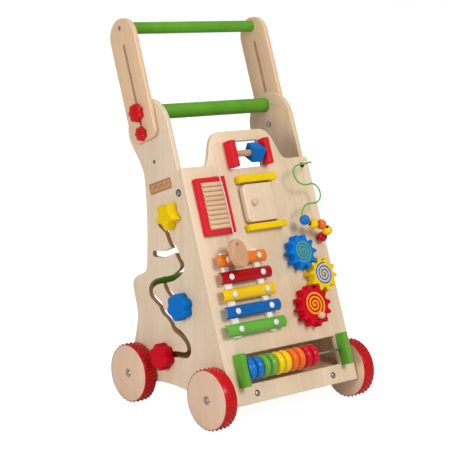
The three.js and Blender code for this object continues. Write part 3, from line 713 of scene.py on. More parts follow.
# ------------ camera, light and floor
CAMERA_PLACE = (-1479.55, -1583.42, 661.43)  # mm from the front axle's middle
CAMERA_AZIMUTH = radians(-40.59)
CAMERA_ELEVATION = radians(9.60)
CAMERA_ROLL = radians(0.55)
CAMERA_LENS = 114.91
AMBIENT = 0.36  # the part of the white backdrop's light that falls on the walker
FLOOR_GLOW = 0.9  # a lit white table: only a faint shadow is left on it
FLOOR_CAST = 0.16  # what the lit table gives back to the walker
FLOOR_REACH = 6
LAMPS = (  # name, place in metres, size, power and tint
    ("key", (0.3, -2.4, 2.0), 1.0, 50, (1.0, 0.96, 0.95)),
    ("side", (-2.8, -0.5, 0.75), 1.0, 37, (1.0, 1.0, 1.07)),
    ("top", (0.0, 0.2, 2.6), 1.6, 12, WHITE),
)


def camera():
    back = Vector((*polar(cos(CAMERA_ELEVATION), CAMERA_AZIMUTH - pi / 2),
                   sin(CAMERA_ELEVATION)))
    level = Vector((0, 0, 1)).cross(back).normalized()
    upward = back.cross(level)
    right = level * cos(CAMERA_ROLL) + upward * sin(CAMERA_ROLL)
    up = upward * cos(CAMERA_ROLL) - level * sin(CAMERA_ROLL)
    eye = in_scene("camera", bpy.data.cameras.new("camera"))
    eye.data.sensor_width = 36
    eye.data.lens = CAMERA_LENS
    eye.data.clip_end = 20
    turn = Matrix((right, up, back)).transposed().to_4x4()
    eye.matrix_world = WALKER @ shift(*CAMERA_PLACE) @ turn
    bpy.context.scene.camera = eye


def lamps():
    for name, place, size, power, tint in LAMPS:
        lamp = bpy.data.lights.new(name, "AREA")
        lamp.color = tint
        lamp.energy = power
        lamp.size = size
        holder = in_scene(name, lamp)
        holder.location = place
        aim = Vector((0, 0, 0.25)) - Vector(place)
        holder.rotation_euler = aim.to_track_quat("-Z", "Y").to_euler()


def glow(tree, seen, cast, target):
    """Lights the target input at one strength for the camera and at another for all else."""
    path = tree.nodes.new("ShaderNodeLightPath")
    strength = tree.nodes.new("ShaderNodeMix")
    strength.inputs["A"].default_value = cast
    strength.inputs["B"].default_value = seen
    tree.links.new(path.outputs["Is Camera Ray"], strength.inputs["Factor"])
    tree.links.new(strength.outputs["Result"], target)


def backdrop_and_floor():
    world = bpy.data.worlds.new("world")
    bpy.context.scene.world = world
    world.use_nodes = True
    background = world.node_tree.nodes["Background"]
    background.inputs["Color"].default_value = (1, 1, 1, 1)
    glow(world.node_tree, 1.0, AMBIENT, background.inputs["Strength"])
    bpy.context.scene.view_settings.view_transform = "Standard"

    corners = [(x * FLOOR_REACH, y * FLOOR_REACH, 0) for x, y in ((-1, -1), (1, -1), (1, 1), (-1, 1))]
    sheet = bpy.data.meshes.new("floor")
    sheet.from_pydata(corners, [], [(0, 1, 2, 3)])
    shader = Shader("floor_paper", (0.5, 0.5, 0.5), 0.9)
    shader.surface.inputs["Emission Color"].default_value = (1, 1, 1, 1)
    glow(shader.tree, FLOOR_GLOW, FLOOR_CAST, shader.surface.inputs["Emission Strength"])
    shader.patchy(shader.noise(3, 2), (0.5, 0.5, 0.5), (0.52, 0.52, 0.52))
    sheet.materials.append(shader.material)
    in_scene("floor", sheet)


# ------------ washboard, string and beater
STRING_RADIUS = 0.9
STRING_ROUTE = [
    (-69.2, 350.6, 1.1), (-69.4, 350.6, 5.2), (-69.8, 350.4, 9.6), (-70, 349.2, 11), (-70.2, 346.4, 11.7),
    (-70.3, 341, 12.8), (-70.1, 336, 13.5), (-69, 321.4, 13.5), (-68.4, 302.7, 13.5),
    (-68.5, 284, 13.5), (-68.7, 270, 13.4), (-68.4, 260, 13.1), (-68.8, 254, 13.6),
    (-71, 247.8, 15.6), (-76, 243.2, 18.2), (-82.5, 240.6, 20.4), (-85.6, 238.6, 22.8),
    (-85.6, 238, 25), (-84.7, 238, 28.2),
]
BEATER_MIDDLE = (-81, 224.2, 28.6)
BEATER_YAW = radians(15.5)  # it hangs turned a little to the right
BEATER_ROLL = radians(13.4)
BEATER_OVAL = (18.3, 22.3)
BEATER_THICK = 10.5
BEATER_HOLE = (14.2, 1.9)  # up from the beater's middle, and its radius


def string_and_beater():
    path = smooth_through(STRING_ROUTE, 12)
    string = instead_of("beater_string", twisted("string", path, STRING_RADIUS), PLAY, string_cotton)
    up, radius = BEATER_HOLE
    half = BEATER_THICK / 2
    hole = oval(0, up, radius, steps=24)
    mesh = plate("beater", oval(0, 0, *BEATER_OVAL, 96), -half, half, 1.6, [hole], 50, 4)
    turn = Matrix.Rotation(BEATER_YAW, 4, "Y") @ Matrix.Rotation(BEATER_ROLL, 4, "Z")
    instead_of("beater", mesh, PLAY @ shift(*BEATER_MIDDLE) @ turn, beater_wood)


BOARD_FRAME = (-116, -57.5, 259.7, 348.7)
BOARD_OPENING = (-107, -65, 267, 341.3)
BOARD = (-106.6, -65.4, 267.4, 340.9)
RIDGES = 10
RIDGE_BED = 8.9
RIDGE_HIGH = 3.4
RIDGE_SHAPE = (  # across the panel, and how much of the full width and height is left there
    (-106.5, 0.5), (-105.2, 0.85), (-104, 1.0), (-70.5, 1.0), (-68.6, 0.88), (-66.8, 0.6), (-65.5, 0.2),
)


def washboard():
    opening = rounded_box(*BOARD_OPENING, 0.8)
    mesh = plate("washboard_frame", rounded_box(*BOARD_FRAME, 2.2), GLUE, 9.3, 0.9, [opening])
    instead_of("washboard_frame", mesh, PLAY, bright_red_paint)

    backing = plate("backing", rounded_box(*BOARD, 0.5), GLUE, RIDGE_BED, 0.2)
    low, high = BOARD[2:]
    pitch = (high - low) / RIDGES
    ridges = [ridge(f"ridge_{i}", low + (i + 0.5) * pitch, pitch * 0.48) for i in range(RIDGES)]
    instead_of("washboard", combined("washboard", backing, *ridges), PLAY, beech_across)


def ridge(name, middle, half):
    """One half-round bar of the washboard, its ends cut back to blunt points."""
    rings = []
    for x, size in RIDGE_SHAPE:
        ring = [(x, middle - half * size, RIDGE_BED - 0.4)]
        for step in range(13):
            angle = pi * (1 - step / 12)
            height = RIDGE_BED + RIDGE_HIGH * size ** 0.3 * sin(angle)
            ring.append((x, middle + half * size * cos(angle), height))
        ring.append((x, middle + half * size, RIDGE_BED - 0.4))
        rings.append(ring)
    return lofted(name, rings, 50)


# ------------ frame
HEAD_HEIGHT = 432
HEAD_RADIUS = 51
TRACK_WIDTH = 9.5  # of the slot in the left panel, which has a main track and two short ones
TRACK_MAIN = [
    (113.7, 309), (125.5, 305.9), (136, 302.8), (144.5, 298), (145, 291.5), (137.5, 287.5),
    (128, 282.4), (121.4, 271.5), (114.3, 263.1), (107.3, 258), (98.5, 247.7), (89.5, 236.5),
    (93.1, 225.2), (112.3, 212), (134, 205.2), (155.3, 198.1), (166.6, 187.6), (165.6, 176.6),
    (153.4, 169.6), (142.5, 163.9), (137.5, 155.8), (124.8, 149.9), (114, 141.9), (107.3, 132.6),
    (91, 126.8), (77.2, 117.8), (71.5, 107.2), (75.2, 98.2), (86, 94.8), (97.5, 93.8),
    (108.1, 91.8), (117.5, 88.7), (127.3, 85.6),
]
TRACK_SPUR = [(106, 257), (122.4, 250.6), (137.3, 245), (149.9, 243.5), (158.2, 243)]
TRACK_BRANCH = [(131, 207), (131, 199.8), (125.6, 191.4), (113.5, 183.8), (98.7, 178.1), (84, 172.3)]
TRAY_FLOOR = 61
TRAY_REAR = 195
TRAY_TOP = 116
EDGE = 0.9  # how far the plywood's edges are rounded
HUMP_WINDOW = (-34, 34, 359.5, 402.8)
COUNTER_WINDOW = (-101.8, 101.8, 29.2, 74.5)
WIRE_ENDS = ((116.2, 354.4), (115.8, 233))
WIRE_HOLE = 2
AXLE_HOLE = 3.3
GEAR_HOLE = 3.3
BOLT_HOLE = 3
PANEL_BOLT = (80, 14)  # from the panel's middle line, and up the slope
TRAY_FRONT = -15
FRONT_RAIL = (5, 27, 12)  # its two edges up the slope, and its thickness


def side_outline():
    head_y = side_front_edge(HEAD_HEIGHT) + HEAD_RADIUS / cos(TILT)
    line = Outline(side_front_edge(42), 42)
    line.arc(head_y, HEAD_HEIGHT, HEAD_RADIUS, pi - TILT, -0.21)
    line.curve((222.5, 408), (196, 388), (186.5, 366))
    line.curve((182, 350), (177.5, 310), (177.3, 262))
    line.line((178, 228))
    line.curve((178, 212), (182, 210), (192, 206))
    line.curve((206, 200.5), (216, 194), (214, 183))
    line.curve((212, 170), (201.5, 150), (202, 134))
    line.curve((202.3, 118), (214, 92), (215.7, 56.1))
    line.arc(WHEELBASE, AXLE_HEIGHT, 23, 0.4, -1.9)
    line.curve((172, 31), (160, 38), (140, 40.5))
    line.curve((110, 43.5), (80, 42.5), (60, 37.5))
    line.curve((50, 35), (38, 34), (24, 34))
    line.line((-16, 34))
    line.bend((-26, 34), (side_front_edge(42), 42))
    return line


def arm_point(distance):
    """The y and z of a point this far up the arm's middle line from the fixed bar."""
    y, z = FIXED_BAR
    return y + distance * sin(TILT), z + distance * cos(TILT)


def side_panels():
    holes = [oval(*spot, BOLT_HOLE, steps=24) for spot in (FIXED_BAR, arm_point(LOWER_CLAMP))]
    holes += [oval(y, AXLE_HEIGHT, AXLE_HOLE, steps=24) for y in (0, WHEELBASE)]
    left = plate("left_side", side_outline(), -HALF_WIDTH, -INNER_HALF, EDGE, holes)
    cutters = [
        plate("track", ribbon(smooth_through(route, 5), TRACK_WIDTH), -HALF_WIDTH - 2, -INNER_HALF + 2, 0.1)
        for route in (TRACK_MAIN, TRACK_SPUR, TRACK_BRANCH)
    ]
    instead_of("left_side_panel", carved(left, cutters), SIDE, birch_left)
    right = plate("right_side", side_outline(), INNER_HALF, HALF_WIDTH, EDGE, holes)
    instead_of("right_side_panel", right, SIDE, birch_right_shaded)


def panel_outline():
    """Up the right side, over half of the raised middle, and the same mirrored."""
    shoulder, top, corner = 368.5, 420, 6
    line = Outline(HALF_WIDTH - 4, 0)
    line.bend((HALF_WIDTH, 0), (HALF_WIDTH, 4))
    line.line((HALF_WIDTH, shoulder - corner))
    line.bend((HALF_WIDTH, shoulder), (HALF_WIDTH - corner, shoulder))
    line.line((91, shoulder))
    line.curve((81, shoulder), (77, 372), (74, 380))
    line.line((68.5, 394.5))
    line.curve((63, 409), (57, top), (40, top))
    return line.points + [(-x, y) for x, y in reversed(line.points)]


def play_panel():
    holes = [rounded_box(*HUMP_WINDOW, 2), rounded_box(*COUNTER_WINDOW, 2)]
    holes += [oval(x, y, WIRE_HOLE, steps=16) for x, y in WIRE_ENDS]
    holes += [oval(x, y, GEAR_HOLE, steps=24) for _, x, y, *_ in GEARS]
    mesh = plate("play_panel", panel_outline(), -PLY, 0, EDGE, holes)
    instead_of("play_panel", mesh, PLAY, birch_panel)
    across, up = PANEL_BOLT
    for name, side in SIDES:
        place = PLAY @ shift(side * across, up, 0)
        extra(f"panel_bolt_{name}", screw_head("bolt", 3.5, 0.9), place, steel, "play_panel")
        # a dark ring round each bolt head: painted shade in the hole that the head sinks into
        ring = turned("ring", [(3.2, 0.03), (4.9, 0.03), (4.8, 0.3), (3.4, 0.35), (3.2, 0.03)], 40)
        extra(f"panel_bolt_recess_shade_{name}", ring, place, black_steel, "play_panel")


def screw_head(name, radius, height):
    """A low domed head with a round socket."""
    socket = radius * 0.42
    profile = [(0, height * 0.25), (socket, height * 0.25), (socket, height * 0.96), (radius * 0.6, height),
               (radius * 0.86, height * 0.8), (radius, height * 0.35), (radius, 0.05), (0, 0.05)]
    return turned(name, profile, 32, 30)


def bars_and_board():
    half = INNER_HALF - GLUE
    for node, radius, (y, z) in (("fixed_bar", FIXED_BAR_RADIUS, FIXED_BAR),
                                 ("lower_bar", LOWER_BAR_RADIUS, LOWER_BAR)):
        profile = rod_profile(radius, -half, half)
        instead_of(node, turned(node, profile, 72), SIDE @ shift(y, z, 0), bar_paint)
    floor = rounded_box(-half, half, TRAY_FRONT, TRAY_REAR, 2)
    board = plate("board", floor, TRAY_FLOOR - PLY, TRAY_FLOOR)
    instead_of("floor_board", board, WALKER, board_wood)
    back = plate("back", rounded_box(TRAY_REAR - PLY, TRAY_REAR, TRAY_FLOOR, TRAY_TOP, 1), -half, half)
    extra("tray_back", back, SIDE, board_wood, "floor_board")
    low, high, thick = FRONT_RAIL
    rail = plate("rail", rounded_box(low, high, -PLY - GLUE - thick, -PLY - GLUE, 1), -half, half)
    extra("floor_board_rail", rail, PLAY @ TURN_TO_X, board_wood, "floor_board")


def rod_profile(radius, low, high, edge=1.0):
    return [(0, low), (radius - edge, low), (radius - edge * 0.3, low + edge * 0.3), (radius, low + edge),
            (radius, high - edge), (radius - edge * 0.3, high - edge * 0.3), (radius - edge, high), (0, high)]


# ------------ handle and clamps
# an arm's half width, its foot below the fixed bar, its corners' radius and the middle of its dome
ARM_SHAPE = (31.5, -45, 14, 120)
ARM_SLOT = (3, -37, 108)  # its half width and its two ends


def handle():
    half, foot, corner, dome = ARM_SHAPE
    outline = Outline(-half + corner, foot)
    outline.arc(half - corner, foot + corner, corner, -pi / 2, 0)
    outline.arc(0, dome, half, 0, pi)
    outline.arc(-half + corner, foot + corner, corner, pi, pi * 1.5)
    radius, low, high = ARM_SLOT
    hole = Outline(radius, high)
    hole.arc(0, high, radius, 0, pi, 10)
    hole.arc(0, low, radius, pi, 2 * pi, 10)
    inner = HALF_WIDTH + SLIP
    for node, side, finish in (("left_arm", -1, arm_left), ("right_arm", 1, arm_right)):
        low, high = sorted((side * inner, side * (inner + PLY)))
        board = plate(node, leaned(outline), low, high, EDGE, [leaned(hole)])
        instead_of(node, board, SIDE, finish)
        place = ARM @ shift(0, HANDLE_REACH, side * (inner + PLY)) @ facing_side(side)
        extra(f"{node}_screw", screw_head("screw", 4, 1.4), place, steel, node)
    reach = inner - GLUE
    bar = turned("handle_bar", rod_profile(HANDLE_RADIUS, -reach, reach), 64)
    instead_of("handle_bar", bar, ARM @ shift(0, HANDLE_REACH, 0), bar_paint)


def leaned(outline):
    """An outline drawn on an arm, as it lies in the side frame."""
    y, z = FIXED_BAR
    cosine, sine = cos(TILT), sin(TILT)
    return [(y + across * cosine + along * sine, z - across * sine + along * cosine)
            for across, along in outline.points]


def facing_side(side):
    """Turns local z to point outward on the left or the right side."""
    return Matrix.Rotation(pi if side < 0 else 0, 4, "Y")


CLAMP_THREAD = (2.2, 2.6)  # its radius in the groove and on the crest
# where on the arm, the knob's radius and thickness, and how far its bolt reaches inside
CLAMPS = (("upper", 0, 15, 10, 20), ("lower", LOWER_CLAMP, 11.6, 8, 4))
KNOB_TOP = ((0.80, 0.87), (0.66, 0.89), (0.58, 0.93), (0.5, 0.975), (0.38, 1.0), (0.2, 1.02), (0.06, 1.03))


def clamps():
    face = HALF_WIDTH + PLY + 2 * SLIP
    for side_name, side in SIDES:
        for kind, along, radius, thick, depth in CLAMPS:
            node = f"{side_name}_{kind}_clamp"
            place = ARM @ shift(0, along, side * face) @ facing_side(side)
            instead_of(node, lobed_knob(node, radius, thick), place, knob_plastic)
            length = face - INNER_HALF + depth
            bolt = threaded_rod("bolt", *CLAMP_THREAD, 1.0, -length, 1)
            extra(f"{node}_bolt", bolt, place, steel, node)
            if kind == "lower":
                nut = turned("nut", rod_profile(5, -length - 0.2, -(face - INNER_HALF) - SLIP, 0.8), 6)
                extra(f"{node}_nut", nut, place, steel, node)


def lobed_knob(name, radius, thick):
    """A seven-lobed clamping knob that stands on z = 0, with a round boss on its top."""
    outline = lobes(7, radius * 0.84, radius, 0.3, 0.8)
    shoulder = [(1, thick * 0.62), (0.98, thick * 0.74), (0.93, thick * 0.83)]
    levels = [(0.90, 0), (0.97, 0.35), (1, 1.2), *shoulder]
    rings = [[(x * s, y * s, z) for x, y in outline] for s, z in levels]
    # from the lobes' shoulder the top rises in a round boss
    for share, z in KNOB_TOP:
        ring = []
        for x, y in outline:
            lobed = hypot(x, y) * share
            plain = radius * 0.92 * share
            roundness = min(1.0, (0.93 - share) / 0.25)
            reach = lobed + (plain - lobed) * roundness
            ring.append((*polar(reach, atan2(y, x)), thick * z))
        rings.append(ring)
    return lofted(name, rings, 50)


def threaded_rod(name, core, crest, pitch, low, high, sides=24, per_turn=6):
    """A rod with a real screw thread, from low to high along z."""
    steps = max(8, round((high - low) / pitch * per_turn))
    rings = []
    for k in range(steps + 1):
        z = low + (high - low) * k / steps
        fade = min(1.0, k / per_turn, (steps - k) / per_turn)
        ring = []
        for i in range(sides):
            turn = i / sides
            phase = (z / pitch - turn) % 1
            radius = core + (crest - core) * fade * (1 - abs(2 * phase - 1)) ** 0.8
            ring.append((*polar(radius, 2 * pi * turn), z))
        rings.append(ring)
    return lofted(name, rings, 70)


# ------------ wheels
DISC_RADIUS = 45
HOLLOW_RADIUS = 7
AXLE_SINK = 5  # how deep the axle's cap lies in the disc's hollow
TREAD_ROWS = 5
STUDS_AROUND = 33
STUD_CORNERS = 10
STUD_LEVELS = ((0, 1.35), (0.5, 1.2), (0.85, 0.8), (1, 0.3))  # share of its height, and its radius


def wheels():
    wide = WHEEL_OUTER - WHEEL_INNER
    seat = wide - AXLE_SINK
    rim, hollow, bore = DISC_RADIUS, HOLLOW_RADIUS, AXLE_HOLE + 0.1
    disc = [(bore, 0), (rim - 1, 0), (rim - 0.2, 0.5), (rim, 1.4), (rim, wide - 1.4), (rim - 0.4, wide - 0.5),
            (rim - 1.4, wide), (hollow + 0.6, wide), (hollow + 0.1, wide - 0.5), (hollow, wide - 1.2),
            (hollow, seat), (bore, seat), (bore, 0)]
    for end, y in (("front", 0), ("rear", WHEELBASE)):
        for side_name, side in SIDES:
            node = f"{end}_{side_name}"
            place = WALKER @ shift(side * WHEEL_INNER, y, AXLE_HEIGHT)
            place = place @ Matrix.Rotation(side * pi / 2, 4, "Y")
            instead_of(f"{node}_wheel", turned("disc", disc, 112), place, wheel_wood)
            instead_of(f"{node}_tyre", tyre(wide), place, tyre_rubber)
        axle(f"{end}_axle", y)


def tyre(wide):
    """A rubber band round the disc, its tread covered in rows of small blunt studs."""
    seat, band, tip = DISC_RADIUS + 0.25, DISC_RADIUS + 0.5, DISC_RADIUS + 2.4
    profile = [(seat, 0.4), (band - 0.4, 0.3), (band, 0.9), (band, wide - 0.9), (band - 0.4, wide - 0.3),
               (seat, wide - 0.4), (seat, 0.4)]
    band_mesh = turned("band", profile, 112)
    points, faces = [], []
    for row in range(TREAD_ROWS):
        z = wide * (row + 0.62) / (TREAD_ROWS + 0.24)
        for i in range(STUDS_AROUND):
            turn = 2 * pi * (i + 0.5 * (row % 2)) / STUDS_AROUND
            add_stud(points, faces, turn, z, band - 0.3, tip)
    return combined("tyre", band_mesh, mesh_of("studs", points, faces, 70))


def add_stud(points, faces, turn, z, low, high):
    """Adds one blunt cone standing on a drum of radius low at this turn and height."""
    outward = Vector((*polar(1, turn), 0))
    around = Vector((*polar(1, turn + pi / 2), 0))
    up = Vector((0, 0, 1))
    corners = STUD_CORNERS
    start = len(points)
    for share, size in STUD_LEVELS:
        for k in range(corners):
            x, y = polar(size, 2 * pi * k / corners)
            points.append(tuple(outward * (low + share * (high - low)) + around * x + up * (z + y)))
    last = start + (len(STUD_LEVELS) - 1) * corners
    for level in range(start, last, corners):
        for k in range(corners):
            a, b = level + k, level + (k + 1) % corners
            faces.append((a, b, b + corners, a + corners))
    faces.append(tuple(range(last, last + corners)))
    faces.append(tuple(reversed(range(start, start + corners))))


def axle(node, y):
    place = SIDE @ shift(y, AXLE_HEIGHT, 0)
    end = WHEEL_OUTER - AXLE_SINK + SLIP
    parts = [turned("rod", rod_profile(3, -end - 0.5, end + 0.5, 0.4), 40)]
    for _, side in SIDES:
        low, high = sorted((side * (HALF_WIDTH + GLUE), side * (WHEEL_INNER - SLIP)))
        parts.append(turned("washer", rod_profile(6, low, high, 0.4), 40))
    instead_of(node, combined(node, *parts), place, steel)
    dome = [(0, 3.3), (1.5, 3.25), (2.9, 2.7), (3.6, 1.7), (3.7, 0.9), (5.4, 0.8), (5.5, 0.5), (5.5, 0),
            (0, 0)]
    for side_name, side in SIDES:
        cap = place @ shift(0, 0, side * end) @ facing_side(side)
        extra(f"{node}_{side_name}_cap", turned("cap", dome, 36), cap, steel, node)


# ------------ door
DOOR_PIVOT = (28, 6.3)  # across the panel and out of its face
DOOR_LEFT = -29
DOOR_HEIGHTS = (271.5, 331.2)
DOOR_HALF = 5  # half its thickness
DOOR_CORNER = 8
DOOR_RAILS = (("door_upper_rail", 334.3, 346), ("door_lower_rail", 258.6, 268.4))
DOOR_KNOB = (-12.5, 301.4)
DOOR_PIN = 1.6


def door():
    rail = Outline(44.5, GLUE)
    rail.line((44.5, 13), (-24, 13)).curve((-28, 12.6), (-31.5, 8), (-32.5, GLUE), 10)
    for node, low, high in DOOR_RAILS:
        # the rail's outline lies across the slope: local x is across, y is out, z is down the slope
        place = PLAY @ Matrix.Rotation(pi / 2, 4, "X")
        instead_of(node, plate(node, rail, -high, -low, EDGE), place, yellow_paint)

    low, high = DOOR_HEIGHTS
    pivot, depth = DOOR_PIVOT
    rings = []
    for i in range(10):
        # the free edge's two corners are round
        reach = DOOR_CORNER * (1 - cos(pi / 2 * i / 9))
        inset = DOOR_CORNER * (1 - sin(pi / 2 * i / 9))
        squeeze = min(1.0, 0.80 + 0.6 * i / 9)
        rings.append(door_section(DOOR_LEFT + reach, low + inset, high - inset, depth, DOOR_HALF * squeeze))
    for x in (-8, 8, pivot - 6):
        rings.append(door_section(x, low, high, depth, DOOR_HALF))
    for i in range(11):
        angle = pi / 2 * i / 10
        size = DOOR_HALF * max(cos(angle), 0.12)
        rings.append(door_section(pivot + DOOR_HALF * sin(angle), low, high, depth, size))
    instead_of("door", lofted("leaf", rings, 50), PLAY, door_wood)
    knob_place = PLAY @ shift(*DOOR_KNOB, depth + DOOR_HALF)
    knob = [(0, 5.9), (3.6, 5.8), (4.5, 5.5), (5, 4.8), (5, 0.6), (4.8, 0), (4.8, -0.5), (0, -0.5)]
    extra("door_knob", turned("knob", knob, 40), knob_place, beech, "door")
    for name, start, end in (("upper", high - 1, high + 10), ("lower", low - 8, low + 1)):
        pin = turned("pin", rod_profile(DOOR_PIN, start, end, 0.3), 24)
        place = PLAY @ shift(pivot, 0, depth) @ Matrix.Rotation(-pi / 2, 4, "X")
        extra(f"door_pin_{name}", pin, place, black_steel, "door")


def door_section(x, low, high, depth, half):
    """A rounded rectangle across the door: y up the slope, z out of the panel."""
    edge = min(0.9, half * 0.9)
    return [(x, y, depth + z) for y, z in rounded_box(low, high, -half, half, edge, 4)]


# ------------ nut and screw
SCREW_PLACE = (381, 8.1)  # up the slope and out of the face
NUT = (4.5, 26.2)  # its two faces, across the panel
NUT_CORNER = 16.5  # from its middle to a corner
NUT_TURN = 87
BLOCKS = (("bolt_left_block", -38.6, -26.8), ("bolt_right_block", 32.5, 43.6))


def nut_and_screw():
    for node, x0, x1 in BLOCKS:
        mesh = plate(node, rounded_box(x0, x1, 360, 402, 1.2), GLUE, 16.6, 1.0)
        instead_of(node, mesh, PLAY, bright_red_paint)
    along = PLAY @ TURN_TO_X @ shift(*SCREW_PLACE, 0)
    screw = threaded_rod("screw", *SCREW_THREAD, 3.6, -26.5, 32.2, 36, 12)
    instead_of("bolt_screw", screw, along, screw_wood)
    # a square nut, standing on one of its edges
    corners = [polar(NUT_CORNER, radians(NUT_TURN + 90 * k)) for k in range(4)]
    nut = plate("nut", soften(corners, [0.9]), *NUT, 0.9, [oval(0, 0, 5.6, steps=36)], 40, 3)
    instead_of("bolt_nut", nut, along, blue_paint)


# ------------ xylophone
# each bar's colour, its place up the slope and its two ends
BARS = (("orange", 218.8, -109.5, -13.7), ("red", 192.4, -110.6, -10.2), ("yellow", 165.9, -114.3, -9.5),
        ("blue", 139.8, -114.8, -6.9), ("green", 112.7, -120.6, -3.2))
# each rail's place across the panel at its top and at its foot
RAILS = (("xylophone_left_rail", -91, -96.4), ("xylophone_right_rail", -30.7, -25.4))
RAIL_ENDS = (231, 101)  # up the slope
RAIL_HALF = 5.2
BAR_FOOT = 7.3
BAR_PIN = [(0, 18.3), (1.6, 18.25), (3.2, 17.95), (4.3, 17.3), (4.7, 16.6), (4.7, 16), (4.3, 15.75),
           (1.6, 15.7), (1.6, 6.5), (0, 6.5)]


def rail_x(top_x, foot_x, y):
    top, foot = RAIL_ENDS
    return top_x + (foot_x - top_x) * (top - y) / (top - foot)


def xylophone():
    top, foot = RAIL_ENDS
    half = RAIL_HALF
    for node, top_x, foot_x in RAILS:
        corners = [(foot_x - half, foot), (foot_x + half, foot), (top_x + half, top), (top_x - half, top)]
        instead_of(node, plate(node, soften(corners, [1.0]), GLUE, 7, 0.7), PLAY, white_paint)
        for bar, y, _, _ in BARS:
            place = PLAY @ shift(rail_x(top_x, foot_x, y), y, 0)
            extra(f"{node}_pin_{bar}", turned("pin", BAR_PIN, 32), place, white_plastic, node)
    for bar, y, x0, x1 in BARS:
        arch = half_oval(y, BAR_FOOT, 9.5, 8.1) + half_oval(y, BAR_FOOT, 8.2, 6.8)[::-1]
        mesh = plate("bar", arch, x0, x1, 0.3, (), 40, 2)
        instead_of(f"xylophone_bar_{bar}", mesh, PLAY @ TURN_TO_X, ENAMELS[bar])


# ------------ gears
GEAR_PITCH = 25.8
GEAR_FACE = 18
YELLOW_TEETH = 10
YELLOW_GEAR = (93.4, 173.2)
CRANK_PEG = (63.4, 109.4)


def gear_train():
    """Each gear's name, middle, teeth, pitch radius and the angle of its first tooth."""
    x, y = YELLOW_GEAR
    phase = radians(26)
    train = [("gear_yellow", x, y, YELLOW_TEETH, GEAR_PITCH, phase)]
    for name, teeth, radius, towards in (("gear_blue", 10, GEAR_PITCH, 128.5),
                                         ("gear_red", 12, GEAR_PITCH * 1.2, 234.8)):
        line = radians(towards)
        step = 2 * pi / YELLOW_TEETH
        lead = phase - line
        near = lead - round(lead / step) * step
        own = (step / 2 - near) * GEAR_PITCH / radius
        middle = polar(GEAR_PITCH + radius, line, x, y)
        train.append((name, *middle, teeth, radius, line + pi + own))
    return train


GEARS = gear_train()
GEAR_LOOKS = {
    "gear_blue": (paint("gear_blue_paint", srgb(0, 114, 206)), paint("green_line", srgb(96, 152, 50))),
    "gear_yellow": (yellow_paint, paint("blue_line", srgb(0, 104, 224))),
    "gear_red": (red_paint, paint("yellow_line", srgb(226, 172, 14))),
}
# the painted line's reach, the angle where it ends, and how far its middle is off the gear's
SPIRALS = {"gear_blue": (17.6, 232, -0.9, 0.9), "gear_yellow": (18, 76, 0.4, 0.2),
           "gear_red": (20, 316, -1.2, 1.8)}


def toothed(teeth, radius, phase):
    root, tip = radius - 4.2, radius + 2.4
    step = 2 * pi / teeth
    line = None
    for i in range(teeth):
        middle = phase + i * step

        def at(reach, share):
            return polar(reach, middle + share * step)

        if line is None:
            line = Outline(*at(root, -0.33))
        line.bend(at(radius - 1.6, -0.22), at(radius, -0.19), 3)
        line.line(at(tip - 0.9, -0.105))
        line.bend(at(tip, -0.085), at(tip + 0.1, -0.03), 3)
        line.line(at(tip + 0.1, 0.03))
        line.bend(at(tip, 0.085), at(tip - 0.9, 0.105), 3)
        line.line(at(radius, 0.19))
        line.bend(at(radius - 1.6, 0.22), at(root, 0.33), 3)
        line.bend(at(root - 1, 0.5), at(root, 0.67), 5)
    return line.points[:-1]


def gears():
    for name, x, y, teeth, radius, phase in GEARS:
        body_paint, line_paint = GEAR_LOOKS[name]
        place = PLAY @ shift(x, y, 0)
        body = plate(name, toothed(teeth, radius, phase), 1.5, GEAR_FACE, 0.9, (), 35, 2)
        pin = turned("pin", [(0, -11), (7, -11), (7, -8.4), (3, -8.4), (3, 1.6), (0, 1.6)], 32)
        instead_of(name, combined(name, body, pin), place, body_paint)
        outer, end, across, up = SPIRALS[name]
        spiral = plate("spiral", ribbon(spiral_line(outer, end), 2.7), 17.9, 18.16, 0.06, (), 60, 1)
        extra(f"{name}_spiral", spiral, place @ shift(across, up, 0), line_paint, name)
    peg = [(0, 10.9), (1.6, 10.75), (3.1, 10.1), (4.4, 9), (5.3, 7.4), (5.75, 5.6), (5.6, 3.8), (5, 2.3),
           (4.5, 1.2), (4.4, 0), (0, 0)]
    instead_of("crank_peg", turned("peg", peg, 56), PLAY @ shift(*CRANK_PEG, GEAR_FACE + GLUE), beech)


def spiral_line(outer, end, turns=3.1, inner=0.8, steps=150):
    """A spiral that winds outward clockwise, as seen from the front, to the angle where it ends."""
    line = []
    for i in range(steps + 1):
        share = i / steps
        angle = radians(end) + turns * 2 * pi * (1 - share)
        line.append(polar(inner + (outer - inner) * share, angle))
    return line


# ------------ bead wire
WIRE_ROUTE = [
    (116.2, 354.4, -6), (116.2, 354.4, 8), (116.2, 354.2, 18), (113, 353, 25.5), (103, 351.8, 27),
    (88, 351, 26), (75.5, 347.5, 26), (70, 339.5, 26), (72.5, 327, 26), (81.5, 319.3, 26),
    (93, 317.5, 26), (105.5, 318, 26), (115, 310.5, 26), (117, 299.5, 26), (112, 291, 26),
    (102, 286.6, 26), (90, 287, 26), (79, 284.6, 26), (71, 277.5, 26), (67.8, 269.5, 26),
    (70.6, 261.5, 26), (78, 256.5, 26), (87.3, 253.6, 26), (96, 252.8, 26), (104.1, 251, 26),
    (110.8, 246.2, 25.9), (115.9, 240.4, 24), (117.3, 235.9, 17.6), (116.2, 233.2, 9), (115.8, 233, -6),
]
WIRE_RADIUS = 1.3
BEAD_RADIUS = 8.3
BEAD_BORE = 3.1


